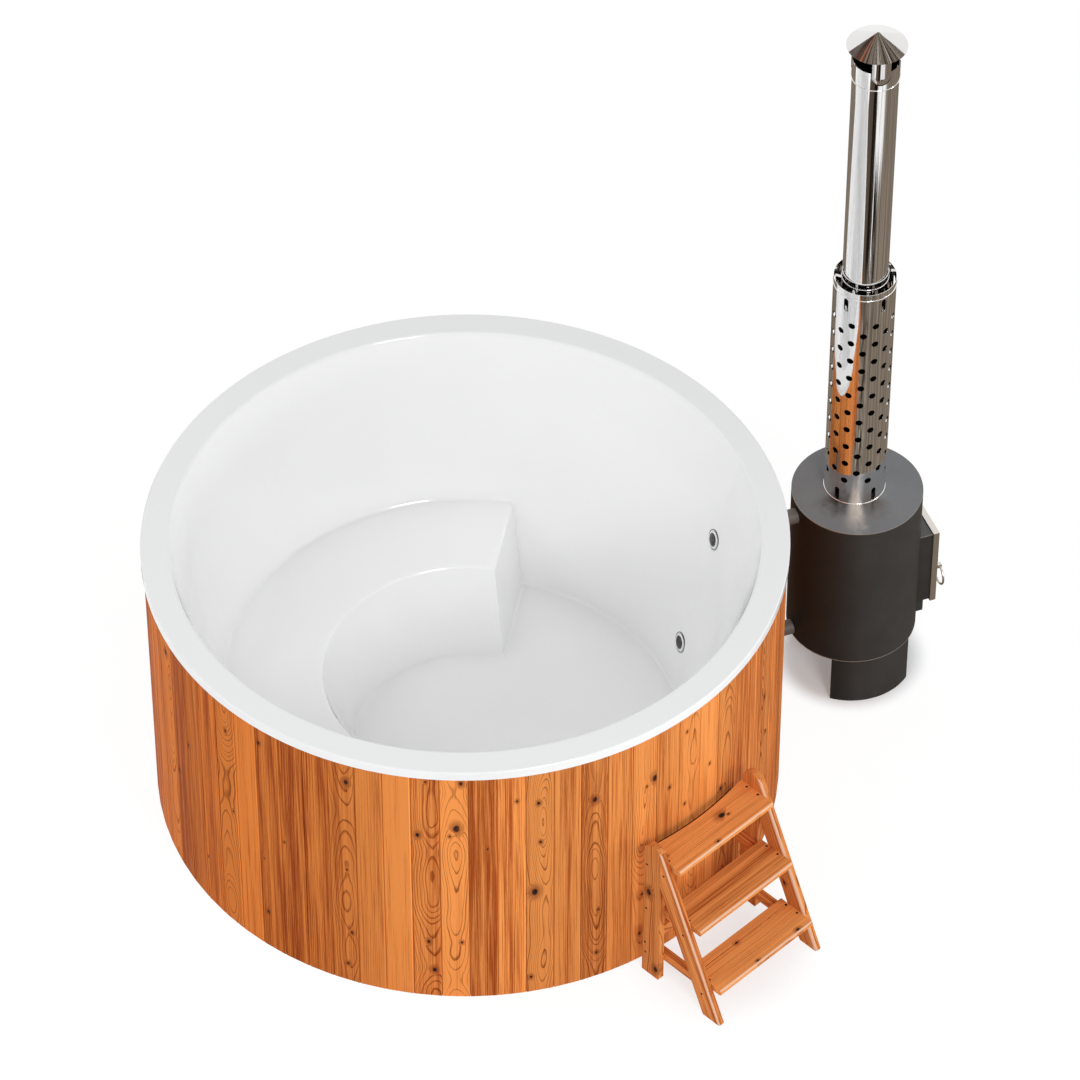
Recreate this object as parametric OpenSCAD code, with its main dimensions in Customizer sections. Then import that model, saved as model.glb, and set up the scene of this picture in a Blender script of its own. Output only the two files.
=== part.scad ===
// Round wooden hot tub with a moulded liner, an outside wood-fired heater and a set of steps.
// The origin is on the ground at the tub's axis. +X points to the heater, +Z points up.

/* [Liner] */
// Height of the rim's top above the ground
rim_height = 1018; // [960:1:1080]
// Width of the flat rim
rim_width = 88; // [80:1:100]
// Height of the lip that hangs over the staves
lip_depth = 32; // [24:1:45]
// Thickness of the moulded shell
shell = 6; // [5:0.5:8]
// Height of the footwell's floor above the ground
floor_height = 125; // [115:1:140]
// Outward run of the wall for each unit of height
wall_lean = 0.25; // [0.2:0.01:0.28]
// Rounding of the rim's outer edge
rim_outer_edge = 5; // [3:0.5:7]
// Rounding where the wall turns over into the rim
rim_inner_edge = 10; // [6:1:14]
// Rounding between the wall and the floor or the seat
cove = 14; // [8:1:20]

/* [Bench] */
// Height of the seat above the ground
seat_height = 420; // [390:1:450]
// Radius of the seat's front edge
seat_front = 457; // [440:1:480]
// Radius of the foot of the bench's front
riser_foot = 357; // [345:1:375]
// Rounding of the seat's edges
seat_edge = 13; // [9:1:16]
// Opening of the footwell, as an angle about the tub's axis
footwell_angle = 116.8; // [100:0.2:130]
// Slope of the bench's two ends
end_draft = 9; // [5:0.5:12]

/* [Staves] */
// Number of staves
stave_count = 72; // [60:2:84]
// Outer radius of the stave wall
stave_radius = 992; // [900:1:1060]
// Gap between the staves and the lip that hangs over them
lip_gap = 2; // [1:0.5:4]
// Thickness of a stave
stave_thickness = 22; // [20:1:24]
// Gap between two staves
stave_gap = 0.3; // [0.2:0.1:0.6]
// Chamfer along a stave's outer corners
stave_chamfer = 2.5; // [1.5:0.5:3]
// Thickness of a stave's tongue
tongue = 6; // [5:0.5:7]
// Length of a stave's tongue
tongue_length = 6; // [4:0.5:7]
// Play of the tongue in its groove
tongue_play = 0.9; // [0.7:0.1:1.2]

/* [Base and frame] */
// Width of a joist, a deck board's bearing
joist_width = 45; // [40:1:60]
// Distance between joists
joist_pitch = 300; // [280:5:320]
// Thickness of the deck boards under the footwell
deck_thickness = 20; // [16:1:25]
// Width of a deck board
deck_board = 140; // [120:5:160]
// Gap between deck boards
deck_gap = 5; // [3:1:8]
// Radial width of the lower ring
lower_ring_width = 64; // [60:1:70]
// Radial width of the upper ring
upper_ring_width = 38; // [34:1:42]
// Thickness of the upper and the lower ring
ring_thickness = 27; // [21:1:30]
// Number of segments in each ring
ring_segments = 8; // [6:1:12]
// Number of studs
stud_count = 16; // [12:4:20]
// Radial depth of a stud
stud_depth = 36; // [30:1:38]
// Width of a stud
stud_width = 45; // [40:1:60]
// Thickness of the bent band at half height
band_thickness = 19; // [15:1:20]
// Height of the bent band
band_height = 45; // [40:1:60]
// Height of the band's lower edge above the ground
band_level = 540; // [500:5:600]

/* [Heater] */
// Gap between the staves and the heater
heater_gap = 120; // [105:1:160]
// Outer radius of the heater
heater_radius = 209; // [202:1:216]
// Height of the heater's top above the ground
heater_top_level = 757; // [745:1:780]
// Height of the heater's underside above the ground
heater_base_level = 180; // [170:1:190]
// Thickness of the heater's shell
heater_plate = 3; // [2:0.5:4]
// Half of the arc that one stand leg covers
leg_half_angle = 40; // [30:1:45]
// Thickness of a stand leg
leg_plate = 4; // [3:0.5:5]
// Outer radius of the firebox
firebox_radius = 165; // [160:1:172]
// Thickness of the firebox's plate
firebox_plate = 4; // [3:0.5:5]
// Water space between the firebox and the heater's base or top
jacket_gap = 22; // [18:1:26]
// Height of the grate's underside above the ground
grate_level = 266; // [262:1:274]
// Thickness of the grate
grate_thickness = 12; // [10:1:14]
// Width of a slot in the grate
grate_slot = 9; // [7:1:12]
// Distance between the slots of the grate
grate_pitch = 24; // [20:1:28]

/* [Fire door] */
// Width of the door neck
neck_width = 178; // [170:1:186]
// Height of the door neck
neck_height = 290; // [280:1:300]
// Height of the door neck's underside above the ground
neck_level = 259; // [256:1:264]
// Distance from the heater's axis to the neck's end
neck_reach = 232; // [228:1:245]
// Thickness of the neck's plate
neck_plate = 4; // [3:0.5:5]
// Gap between the neck and the door, where the rope seal shows
door_gap = 2; // [1.5:0.5:3]
// Thickness of the door
door_thickness = 20; // [18:1:24]
// Overhang of the door past the neck on each side
door_overhang = 4; // [3:0.5:5]
// Thickness of the door's sheet steel
door_sheet = 2; // [1.5:0.5:2.5]
// Width of the rope seal
seal_width = 12; // [10:1:14]
// Radius of a hinge pin
pin_radius = 4; // [3.5:0.5:5]
// Running clearance of a hinge pin in its knuckle
pin_clearance = 0.06; // [0.03:0.01:0.1]
// Height of a hinge knuckle
knuckle_height = 24; // [20:1:30]
// Outer radius of a hinge knuckle
knuckle_radius = 8; // [7.5:0.5:9]
// Height of the two hinges above and below the door's middle
hinge_spread = 95; // [80:1:105]

/* [Door handle] */
// Distance of the handle from the door's middle, towards the free edge
handle_offset = 70; // [60:1:74]
// Height of the handle plate
handle_plate_height = 106; // [96:1:120]
// Width of the handle plate
handle_plate_width = 18; // [16:1:22]
// Thickness of the handle plate
handle_plate_thickness = 5; // [4:0.5:6]
// Outer radius of the pull ring
ring_radius = 40; // [36:1:44]
// Radius of the pull ring's round bar
ring_bar = 3.5; // [3:0.25:4]
// Distance from the door to the middle of the pull ring's bar
ring_standoff = 17; // [15:1:24]
// Length of the eye's bore
eye_length = 14; // [12:1:18]

/* [Ash drawer] */
// Height of the ash duct
duct_height = 44; // [40:1:46]
// Thickness of the ash duct's plate
duct_plate = 2.5; // [2:0.5:3]
// Distance from the heater's axis to the ash duct's end
duct_reach = 212; // [210:1:218]
// Play of the drawer in its duct
drawer_play = 0.3; // [0.2:0.1:0.5]
// Height of the drawer's walls
drawer_height = 31; // [26:1:32]
// Thickness of the drawer's sheet
drawer_sheet = 2; // [1.5:0.5:2.5]
// Length of the drawer
drawer_length = 290; // [270:5:300]

/* [Water pipes] */
// Height of the upper water pipe's axis above the ground
upper_pipe_level = 709; // [700:1:715]
// Height of the lower water pipe's axis above the ground
lower_pipe_level = 207; // [206:1:225]
// Outer radius of a water pipe
pipe_radius = 25; // [23:0.5:27]
// Wall of a water pipe
pipe_wall = 2.5; // [2:0.5:3]
// Length of pipe inside the staves
pipe_inside = 40; // [34:1:45]
// Height of the upper port above the ground
upper_port_level = 700; // [680:1:710]
// Height of the lower port above the ground
lower_port_level = 275; // [260:1:290]
// Radius of a port's flange
port_flange = 29; // [28:0.5:33]
// Thickness of a port's flange
port_flange_thickness = 4; // [3:0.5:5]
// Length of a port's tail outside the liner
port_tail = 46; // [42:1:50]
// Thickness of a rubber washer
washer_thickness = 3; // [2:0.5:4]
// Thickness of a flange nut
nut_thickness = 9; // [8:0.5:10]
// Wall of a rubber hose
hose_wall = 4; // [3:0.5:5]
// Length of hose that is pushed over a pipe or a tail
hose_overlap = 28; // [26:1:30]
// Width of a hose clamp
clamp_width = 12; // [9:1:14]

/* [Chimney] */
// Outer radius of the flue pipe
flue_radius = 71; // [64:0.5:74]
// Thickness of the flue's sheet
flue_sheet = 1.5; // [1:0.25:2]
// Distance of the flue's axis from the heater's, across the door's direction
flue_offset = 24; // [0:1:28]
// Height of the joint between the two flue pipes
flue_joint_level = 1672; // [1660:1:1690]
// Length of the socket at that joint
socket_length = 60; // [50:1:70]
// Height of the flue's top above the ground
flue_top_level = 2516; // [2450:1:2550]
// Outer radius of the perforated guard
guard_radius = 97.5; // [92:0.5:102]
// Thickness of the guard's sheet
guard_sheet = 1.5; // [1:0.25:2]
// Height of the guard's top above the ground
guard_top_level = 1650; // [1640:1:1658]
// Radius of a hole in the guard
hole_radius = 11; // [8:0.5:12]
// Number of columns of holes
hole_columns = 16; // [12:4:20]
// Distance between holes in one column
hole_pitch = 73.3; // [70:0.1:80]
// Height of the lowest hole above the heater's top
first_hole = 100; // [95:1:110]
// Number of slots at each end of the guard
slot_count = 5; // [4:1:6]
// Width of a slot
slot_width = 16; // [10:1:18]
// Height of a slot
slot_height = 52; // [45:1:54]
// Direction of the first slot about the flue's axis
slot_turn = 67.5; // [0:0.5:72]
// Radius of a rolled bead
bead_radius = 1.6; // [1.2:0.1:2]
// Height of the cap's collar
collar_height = 68; // [60:1:80]
// Radius of the rain cap
cap_radius = 92; // [88:0.5:100]
// Height of the rain cap's cone
cap_height = 49; // [44:1:60]
// Height of the cone's edge above the flue's top
cap_lift = 52; // [44:1:60]
// Thickness of the rain cap's sheet
cap_sheet = 1.5; // [1:0.25:2]
// Width of a cap strap
strap_width = 58; // [44:1:62]

/* [Drain] */
// Direction in which the drain pipe leaves the tub
drain_azimuth = 67.5; // [62:0.5:73]
// Sideways distance of the drain from the tub's axis
drain_offset = 150; // [140:1:160]
// Distance of the drain behind the tub's axis, along its pipe
drain_run = 110; // [80:5:140]
// Height of the drain pipe's axis above the ground
drain_level = 48; // [46:1:52]
// Outer radius of the drain pipe
drain_pipe_radius = 20; // [18:0.5:21]
// Wall of the drain pipe
drain_wall = 3; // [2:0.5:3.5]
// Radius of the drain's flange
drain_flange_radius = 42; // [40:1:48]
// Length of the valve's body
valve_length = 64; // [60:1:72]
// Radius of the valve's body
valve_radius = 27; // [26:0.5:29]
// Length of the valve's lever
lever_length = 92; // [80:1:100]

/* [Steps] */
// Direction of the steps from the tub's axis
steps_azimuth = -66.3; // [-80:0.1:-50]
// Overall width of the steps
steps_width = 455; // [430:1:500]
// Thickness of the side boards
side_board = 24; // [20:1:28]
// Gap between the staves and the posts' backs
post_gap = 14; // [10:1:23]
// Width of a post
post_width = 70; // [60:1:75]
// Height of the side frames
steps_height = 583; // [575:1:600]
// Run of the stringer's front edge on the ground, from the posts' backs
stringer_run = 334; // [320:1:350]
// Backward slope of the stringers, as run for each unit of height
stringer_slope = 0.459; // [0.44:0.001:0.47]
// Width of a stringer, measured level
stringer_width = 70; // [60:1:75]
// Rounding of the side frames' heads
head_radius = 36; // [20:1:40]
// Rounding of the stringers' front edges
board_edge = 6; // [2:0.5:8]
// Height of the lowest tread's top above the ground
first_tread = 127; // [120:1:135]
// Rise from one tread to the next
tread_rise = 199; // [190:1:204]
// Depth of a tread
tread_depth = 135; // [128:1:142]
// Thickness of a tread
tread_thickness = 22; // [18:1:25]
// Overhang of a tread past the stringers
tread_nose = 38.5; // [30:0.5:42]
// Rounding of a tread's front edges
tread_edge = 6; // [2:0.5:8]
// Distance of the lowest tread's groove from its back edge
groove_inset = 30; // [20:1:40]
// Width of that groove
groove_width = 2.5; // [1.5:0.5:4]
// Depth of that groove
groove_depth = 3; // [1:0.5:5]
// Gap between the staves and the top tread's hollow back edge
tread_standoff = 22; // [16:1:26]
// Thickness of a cleat under a tread
cleat_thickness = 24; // [18:1:26]
// Height of a cleat
cleat_height = 30; // [24:1:36]
// Height of the rear rail's lower edge above the ground
rail_level = 120; // [112:1:140]
// Height of the rear rail
rail_height = 38; // [30:1:45]

/* [Hidden] */
$fn = 96;

// Clearance between a piece and the seat it is fitted to
fit = 0.2;
// Reach of a cutting tool past the surface it cuts
over = 5;
// Steps in each rounded corner of a profile
corner_steps = 5;

wood_colour = "#c97840";
frame_colour = "#b98a5a";
liner_colour = "#e6e8ea";
heater_colour = "#3c3a38";
steel_colour = "#c9cbce";
rubber_colour = "#26282a";
pipe_colour = "#8d9196";

// ---- profile helpers ----

function unit(v) = v / norm(v);
function radius_of(corner) = is_undef(corner.z) ? 0 : corner.z;

// Points that round the corner b between a and c; the radius is the corner's third number
function corner(a, b, c) =
    let (p = [b.x, b.y], r = radius_of(b))
    r == 0 ? [p] :
    let (
        u = unit([a.x, a.y] - p),
        v = unit([c.x, c.y] - p),
        half = acos(u * v) / 2,
        centre = p + unit(u + v) * r / sin(half),
        from = p + u * r / tan(half) - centre,
        to = p + v * r / tan(half) - centre,
        start = atan2(from.y, from.x),
        sweep = atan2(from.x * to.y - from.y * to.x, from * to)
    )
    [for (i = [0 : corner_steps])
        let (a = start + sweep * i / corner_steps) centre + r * [cos(a), sin(a)]];

function rounded(path) =
    let (n = len(path))
    [for (i = [0 : n - 1]) each corner(path[(i + n - 1) % n], path[i], path[(i + 1) % n])];

module tube(outer, inner, height) {
    difference() {
        cylinder(r = outer, h = height);
        translate([0, 0, -over])
            cylinder(r = inner, h = height + 2 * over);
    }
}

// A ring of segments about the Z axis, with the given gap between them
module segmented_ring(outer, width, height, segments, gap) {
    joint_angle = gap / outer * 180 / PI;
    for (i = [0 : segments - 1])
        rotate([0, 0, (i + 0.5) * 360 / segments + joint_angle / 2])
            rotate_extrude(angle = 360 / segments - joint_angle)
                translate([outer - width, 0])
                    square([width, height]);
}

// ---- liner ----

rim_radius = stave_radius + lip_gap + shell;
wall_tilt = atan(wall_lean);
wall_secant = 1 / cos(wall_tilt);
riser_lean = (seat_front - riser_foot) / (seat_height - floor_height);
riser_secant = sqrt(1 + riser_lean * riser_lean);
end_run = (seat_height - floor_height) * tan(end_draft);
bench_reach = rim_radius + 100;
liner_floor = floor_height - shell;
liner_rim = rim_height - shell;

// Radius of the wall at height z, t outside the wall's inner face
function wall_r(z, t = 0) = rim_radius - rim_width - wall_lean * (rim_height - z) + t * wall_secant;
// Radius of the bench's front at height z, t behind its face
function riser_r(z, t = 0) = riser_foot + riser_lean * (z - floor_height) + t * riser_secant;
// Distance of the bench's end face from the radial line at height z, t behind the face
function end_p(z, t = 0) = (seat_height - z) * tan(end_draft) - t / cos(end_draft);
// Length of the straight side that a rounding of radius r takes up at a corner of the given angle
function tangent(r, angle) = r / tan(angle / 2);

riser_cove_run = tangent(cove, 90 + atan(riser_lean));
end_cove_run = tangent(cove, 90 + end_draft);
end_edge_run = tangent(seat_edge, 90 + end_draft);
seat_cove_run = tangent(cove, 90 + wall_tilt);

module basin_shell() {
    rotate_extrude($fn = 180)
        polygon(rounded([
            [0, floor_height],
            [wall_r(floor_height), floor_height, cove],
            [wall_r(rim_height), rim_height, rim_inner_edge],
            [rim_radius, rim_height, rim_outer_edge],
            [rim_radius, rim_height - lip_depth],
            [rim_radius - shell, rim_height - lip_depth],
            [rim_radius - shell, liner_rim],
            [wall_r(liner_rim, shell), liner_rim, rim_inner_edge + shell],
            [wall_r(liner_floor, shell), liner_floor, cove + shell],
            [0, liner_floor]
        ]));
}

// The bench as a full ring, rounded into the floor and the wall
module bench_ring() {
    top = seat_height + seat_cove_run * cos(wall_tilt);
    inside = floor_height - shell / 2;
    rotate_extrude($fn = 180)
        polygon(rounded([
            [riser_foot - riser_cove_run, inside],
            [riser_foot - riser_cove_run, floor_height],
            [riser_foot, floor_height, cove * 0.999],
            [seat_front, seat_height, seat_edge],
            [wall_r(seat_height), seat_height, cove * 0.999],
            [wall_r(top), top],
            [wall_r(top, shell / 2), top],
            [wall_r(inside, shell / 2), inside]
        ]));
}

// Section of the bench across its end, along which the footwell starts
module end_section() {
    top = seat_height + 2 * cove;
    polygon(rounded([
        [-bench_reach, -over],
        [end_run + end_cove_run, -over],
        [end_run + end_cove_run, floor_height],
        [end_run, floor_height, cove * 0.999],
        [0, seat_height, seat_edge * 0.999],
        [-end_edge_run, seat_height],
        [-end_edge_run, top],
        [-bench_reach, top]
    ]));
}

module end_section_inside() {
    polygon([
        [-bench_reach, -over],
        [end_p(-over, shell), -over],
        [end_p(seat_height, shell), seat_height],
        [-bench_reach, seat_height]
    ]);
}

// Everything that lies on the bench's side of its two ends
module bench_side() {
    for (side = [0, 1])
        mirror([0, side, 0])
            rotate([0, 0, -footwell_angle / 2])
                translate([-bench_reach, 0, 0])
                    rotate([90, 0, 90])
                        linear_extrude(2 * bench_reach)
                            children();
}

module bench_hollow() {
    under_seat = seat_height - shell;
    intersection() {
        rotate_extrude($fn = 180)
            polygon(rounded([
                [riser_r(-over, shell), -over],
                [riser_r(under_seat, shell), under_seat, seat_edge - shell],
                [bench_reach, under_seat],
                [bench_reach, -over]
            ]));
        bench_side()
            end_section_inside();
    }
}

// Places children at a port, with Z out of the tub from the wall's inner face
module at_port(level) {
    translate([wall_r(level), 0, level])
        rotate([0, 90 + wall_tilt, 0])
            children();
}

// Places children at the drain, with X along the drain pipe
module at_drain() {
    rotate([0, 0, drain_azimuth])
        translate([-drain_run, -drain_offset, 0])
            children();
}

module liner() {
    color(liner_colour)
        difference() {
            union() {
                basin_shell();
                intersection() {
                    bench_ring();
                    bench_side()
                        end_section();
                }
            }
            bench_hollow();
            for (level = [upper_port_level, lower_port_level])
                at_port(level)
                    translate([0, 0, -20])
                        cylinder(r = pipe_radius + fit, h = 40 + shell);
            at_drain()
                translate([0, 0, liner_floor - over])
                    cylinder(r = drain_tail_radius + fit, h = shell + 2 * over);
        }
}

// ---- staves ----

stave_inner = stave_radius - stave_thickness;
stave_pitch = 360 / stave_count;
tongue_middle = stave_inner + stave_thickness / 2 - stave_chamfer / 2;
pipe_hole_radius = pipe_radius + 1.5;
drain_hole_radius = drain_pipe_radius + 3;

// Half of a stave's width at radius r
function half_stave(r) = r * tan(stave_pitch / 2) - stave_gap / 2;

module stave_section() {
    t1 = tongue_middle - tongue / 2;
    t2 = tongue_middle + tongue / 2;
    g1 = t1 - tongue_play;
    g2 = t2 + tongue_play;
    depth = tongue_length + tongue_play;
    corner_r = stave_radius - stave_chamfer;
    polygon([
        [stave_radius, half_stave(stave_radius) - stave_chamfer],
        [corner_r, half_stave(corner_r)],
        [t2, half_stave(t2)],
        [t2, half_stave(t2) + tongue_length],
        [t1, half_stave(t2) + tongue_length],
        [t1, half_stave(t1)],
        [stave_inner, half_stave(stave_inner)],
        [stave_inner, -half_stave(stave_inner)],
        [g1, -half_stave(g1)],
        [g1, -half_stave(g1) + depth],
        [g2, -half_stave(g1) + depth],
        [g2, -half_stave(g2)],
        [corner_r, -half_stave(corner_r)],
        [stave_radius, -half_stave(stave_radius) + stave_chamfer]
    ]);
}

module staves() {
    color(wood_colour)
        difference() {
            for (i = [0 : stave_count - 1])
                rotate([0, 0, (i + 0.5) * stave_pitch])
                    linear_extrude(liner_rim - fit)
                        stave_section();
            for (level = [upper_pipe_level, lower_pipe_level])
                translate([stave_inner - 40, 0, level])
                    rotate([0, 90, 0])
                        cylinder(r = pipe_hole_radius, h = 80);
            at_drain()
                translate([drain_wall_distance - 60, 0, drain_level])
                    rotate([0, 90, 0])
                        cylinder(r = drain_hole_radius, h = 80);
        }
}

// ---- base and frame inside the stave wall ----

ring_outer = stave_inner - fit;
deck_level = liner_floor - deck_thickness;
lower_ring_level = deck_level;
upper_ring_level = liner_rim - ring_thickness - fit;
stud_outer = ring_outer - band_thickness - fit - stud_width * stud_width / (8 * stave_inner);
joist_reach = stave_inner - 2;
deck_radius = ring_outer - lower_ring_width - 3;

module lower_ring() {
    color(frame_colour)
        translate([0, 0, lower_ring_level])
            segmented_ring(ring_outer, lower_ring_width, ring_thickness, ring_segments, 1);
}

module upper_ring() {
    color(frame_colour)
        translate([0, 0, upper_ring_level])
            segmented_ring(ring_outer, upper_ring_width, ring_thickness, ring_segments, 1);
}

module middle_band() {
    color(frame_colour)
        translate([0, 0, band_level])
            segmented_ring(ring_outer, band_thickness, band_height, ring_segments, 1);
}

module studs() {
    foot = lower_ring_level + ring_thickness;
    color(frame_colour)
        for (i = [0 : stud_count - 1])
            rotate([0, 0, (i + 0.5) * 360 / stud_count])
                translate([stud_outer - stud_depth, -stud_width / 2, foot])
                    cube([stud_depth, stud_width, upper_ring_level - foot]);
}

module joists() {
    reach_count = floor((joist_reach - joist_width) / joist_pitch);
    color(frame_colour)
        rotate([0, 0, drain_azimuth])
            intersection() {
                for (i = [-reach_count : reach_count])
                    translate([-stave_radius, i * joist_pitch - joist_width / 2, 0])
                        cube([2 * stave_radius, joist_width, deck_level]);
                cylinder(r = joist_reach, h = deck_level);
            }
}

module deck_boards() {
    pitch = deck_board + deck_gap;
    reach_count = floor((deck_radius + deck_board / 2 - 20) / pitch);
    color(frame_colour)
        difference() {
            rotate([0, 0, drain_azimuth])
                intersection() {
                    for (i = [-reach_count : reach_count])
                        translate([i * pitch - deck_board / 2, -stave_radius, deck_level])
                            cube([deck_board, 2 * stave_radius, deck_thickness]);
                    translate([0, 0, deck_level])
                        cylinder(r = deck_radius, h = deck_thickness);
                }
            at_drain()
                translate([0, 0, deck_level - over])
                    cylinder(r = drain_nut_radius + 6, h = deck_thickness + 2 * over);
        }
}

// ---- water ports, hoses and pipes ----

pipe_bore = pipe_radius - pipe_wall;
pipe_end = stave_inner - pipe_inside;
tail_end = shell + port_tail;
nut_radius = pipe_radius + 9;
washer_radius = pipe_radius + 8;
hose_sides = 24;
hose_bore = (pipe_radius + fit) / cos(180 / hose_sides);
hose_radius = hose_bore + hose_wall;
// Height of the curved wall's arc behind a flat flange
port_sagitta = port_flange * port_flange / (2 * wall_r(lower_port_level));
port_seat = port_sagitta + fit;

module port(level) {
    at_port(level)
        difference() {
            union() {
                translate([0, 0, -port_seat - port_flange_thickness])
                    rotate_extrude()
                        polygon(rounded([
                            [0, 0],
                            [port_flange, 0, port_flange_thickness / 2],
                            [port_flange, port_flange_thickness],
                            [0, port_flange_thickness]
                        ]));
                translate([0, 0, -port_seat - 1])
                    cylinder(r = pipe_radius, h = tail_end + port_seat + 1);
            }
            translate([0, 0, -port_seat - port_flange_thickness - over])
                cylinder(r = pipe_bore, h = tail_end + port_seat + port_flange_thickness + 2 * over);
        }
}

module upper_port() {
    color(steel_colour)
        port(upper_port_level);
}

module lower_port() {
    color(steel_colour)
        port(lower_port_level);
}

module washers() {
    color(rubber_colour) {
        for (level = [upper_port_level, lower_port_level])
            at_port(level)
                translate([0, 0, shell + fit])
                    tube(washer_radius, pipe_radius + fit, washer_thickness);
        at_drain()
            translate([0, 0, liner_floor - washer_thickness])
                tube(drain_tail_radius + 8, drain_tail_radius + fit, washer_thickness);
    }
}

module hex_nut(radius, bore) {
    difference() {
        cylinder(r = radius, h = nut_thickness, $fn = 6);
        translate([0, 0, -over])
            cylinder(r = bore + fit, h = nut_thickness + 2 * over);
    }
}

module flange_nuts() {
    color(steel_colour) {
        for (level = [upper_port_level, lower_port_level])
            at_port(level)
                translate([0, 0, shell + washer_thickness + fit])
                    hex_nut(nut_radius, pipe_radius);
        at_drain()
            translate([0, 0, liner_floor - washer_thickness - nut_thickness])
                hex_nut(drain_nut_radius, drain_tail_radius);
    }
}

// Cubic curve from a to d that leaves towards b and arrives from c
function curve(a, b, c, d, t) =
    pow(1 - t, 3) * a + 3 * t * pow(1 - t, 2) * b + 3 * t * t * (1 - t) * c + pow(t, 3) * d;

hose_rings = 10;

// Faces between the rings a and b of a swept tube
function band(a, b) = [for (j = [0 : hose_sides - 1])
    let (k = (j + 1) % hose_sides) [a + j, b + j, b + k, a + k]];

// A hose in the XZ plane from a port's tail to a pipe's end
module hose(port_level, pipe_level) {
    along = [cos(wall_tilt), -sin(wall_tilt)];
    root = [wall_r(port_level), port_level] + along * (tail_end - hose_overlap);
    tail = root + along * hose_overlap;
    mouth = [pipe_end, pipe_level];
    finish = mouth + [hose_overlap, 0];
    pull = (mouth.x - tail.x) * 0.45;
    path = concat(
        [root],
        [for (i = [0 : hose_rings])
            curve(tail, tail + along * pull, mouth - [pull, 0], mouth, i / hose_rings)],
        [finish]
    );
    n = len(path);
    ways = [for (i = [0 : n - 1]) unit(path[min(i + 1, n - 1)] - path[max(i - 1, 0)])];
    points = [for (r = [hose_radius, hose_bore]) for (i = [0 : n - 1]) for (j = [0 : hose_sides - 1])
        let (a = 360 * j / hose_sides, across = [-ways[i].y, ways[i].x] * r * cos(a))
        [path[i].x + across.x, r * sin(a), path[i].y + across.y]];
    inner = n * hose_sides;
    faces = concat(
        [for (i = [0 : n - 2]) each band(i * hose_sides, (i + 1) * hose_sides)],
        [for (i = [0 : n - 2]) each band(inner + (i + 1) * hose_sides, inner + i * hose_sides)],
        band(inner, 0),
        band((n - 1) * hose_sides, inner + (n - 1) * hose_sides)
    );
    polyhedron(points, faces, convexity = 6);
}

module upper_hose() {
    color(rubber_colour)
        hose(upper_port_level, upper_pipe_level);
}

module lower_hose() {
    color(rubber_colour)
        hose(lower_port_level, lower_pipe_level);
}

module clamp() {
    band_sheet = 1.5;
    difference() {
        union() {
            cylinder(r = hose_radius + fit + band_sheet, h = clamp_width);
            translate([hose_radius, -8, 0])
                cube([9, 16, clamp_width]);
        }
        translate([0, 0, -over])
            cylinder(r = hose_radius + fit, h = clamp_width + 2 * over);
    }
}

module hose_clamps() {
    inset = (hose_overlap - clamp_width) / 2;
    color(steel_colour) {
        for (level = [upper_port_level, lower_port_level])
            at_port(level)
                translate([0, 0, tail_end - hose_overlap + inset])
                    rotate([0, 0, 90])
                        clamp();
        for (level = [upper_pipe_level, lower_pipe_level])
            translate([pipe_end + inset, 0, level])
                rotate([0, 90, 0])
                    rotate([0, 0, 90])
                        clamp();
    }
}

module water_pipe(level) {
    reach = heater_distance - pipe_end;
    difference() {
        translate([pipe_end, 0, level])
            rotate([0, 90, 0])
                tube(pipe_radius, pipe_bore, reach);
        translate([heater_distance, 0, 0])
            cylinder(r = heater_radius + fit / 2, h = heater_top_level + over);
    }
}

module upper_pipe() {
    color(heater_colour)
        water_pipe(upper_pipe_level);
}

module lower_pipe() {
    color(heater_colour)
        water_pipe(lower_pipe_level);
}

// ---- drain ----

drain_bore = drain_pipe_radius - drain_wall;
drain_tail_radius = drain_pipe_radius + 4;
drain_nut_radius = drain_tail_radius + 9;
drain_flange_thickness = 3;
drain_tail_end = drain_level + 37;
elbow_bend = 34;
// Distance along the drain pipe from the drain to the stave wall's outer face
drain_wall_distance = drain_run + sqrt(stave_radius * stave_radius - drain_offset * drain_offset);
valve_start = drain_wall_distance + 18;
plug_radius = drain_pipe_radius - 0.1;

module drain_flange() {
    top = floor_height + drain_flange_thickness;
    color(steel_colour)
        at_drain()
            difference() {
                union() {
                    translate([0, 0, floor_height])
                        rotate_extrude()
                            polygon(rounded([
                                [0, 0],
                                [drain_flange_radius, 0],
                                [drain_flange_radius, drain_flange_thickness, drain_flange_thickness / 2],
                                [0, drain_flange_thickness]
                            ]));
                    translate([0, 0, drain_tail_end])
                        cylinder(r = drain_tail_radius, h = floor_height - drain_tail_end + 1);
                }
                translate([0, 0, drain_tail_end - over])
                    cylinder(r = drain_pipe_radius, h = top - drain_tail_end + 2 * over);
            }
}

module drain_plug() {
    top = floor_height + drain_flange_thickness;
    cap = 5;
    color(rubber_colour)
        at_drain() {
            translate([0, 0, top - 14])
                cylinder(r = plug_radius, h = 14.5);
            translate([0, 0, top])
                rotate_extrude()
                    polygon(rounded([
                        [0, 0], [drain_pipe_radius + 6, 0], [drain_pipe_radius + 6, cap, 2], [5, cap],
                        [5, cap + 6], [9, cap + 9, 2], [9, cap + 14, 2], [0, cap + 14]
                    ]));
        }
}

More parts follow.
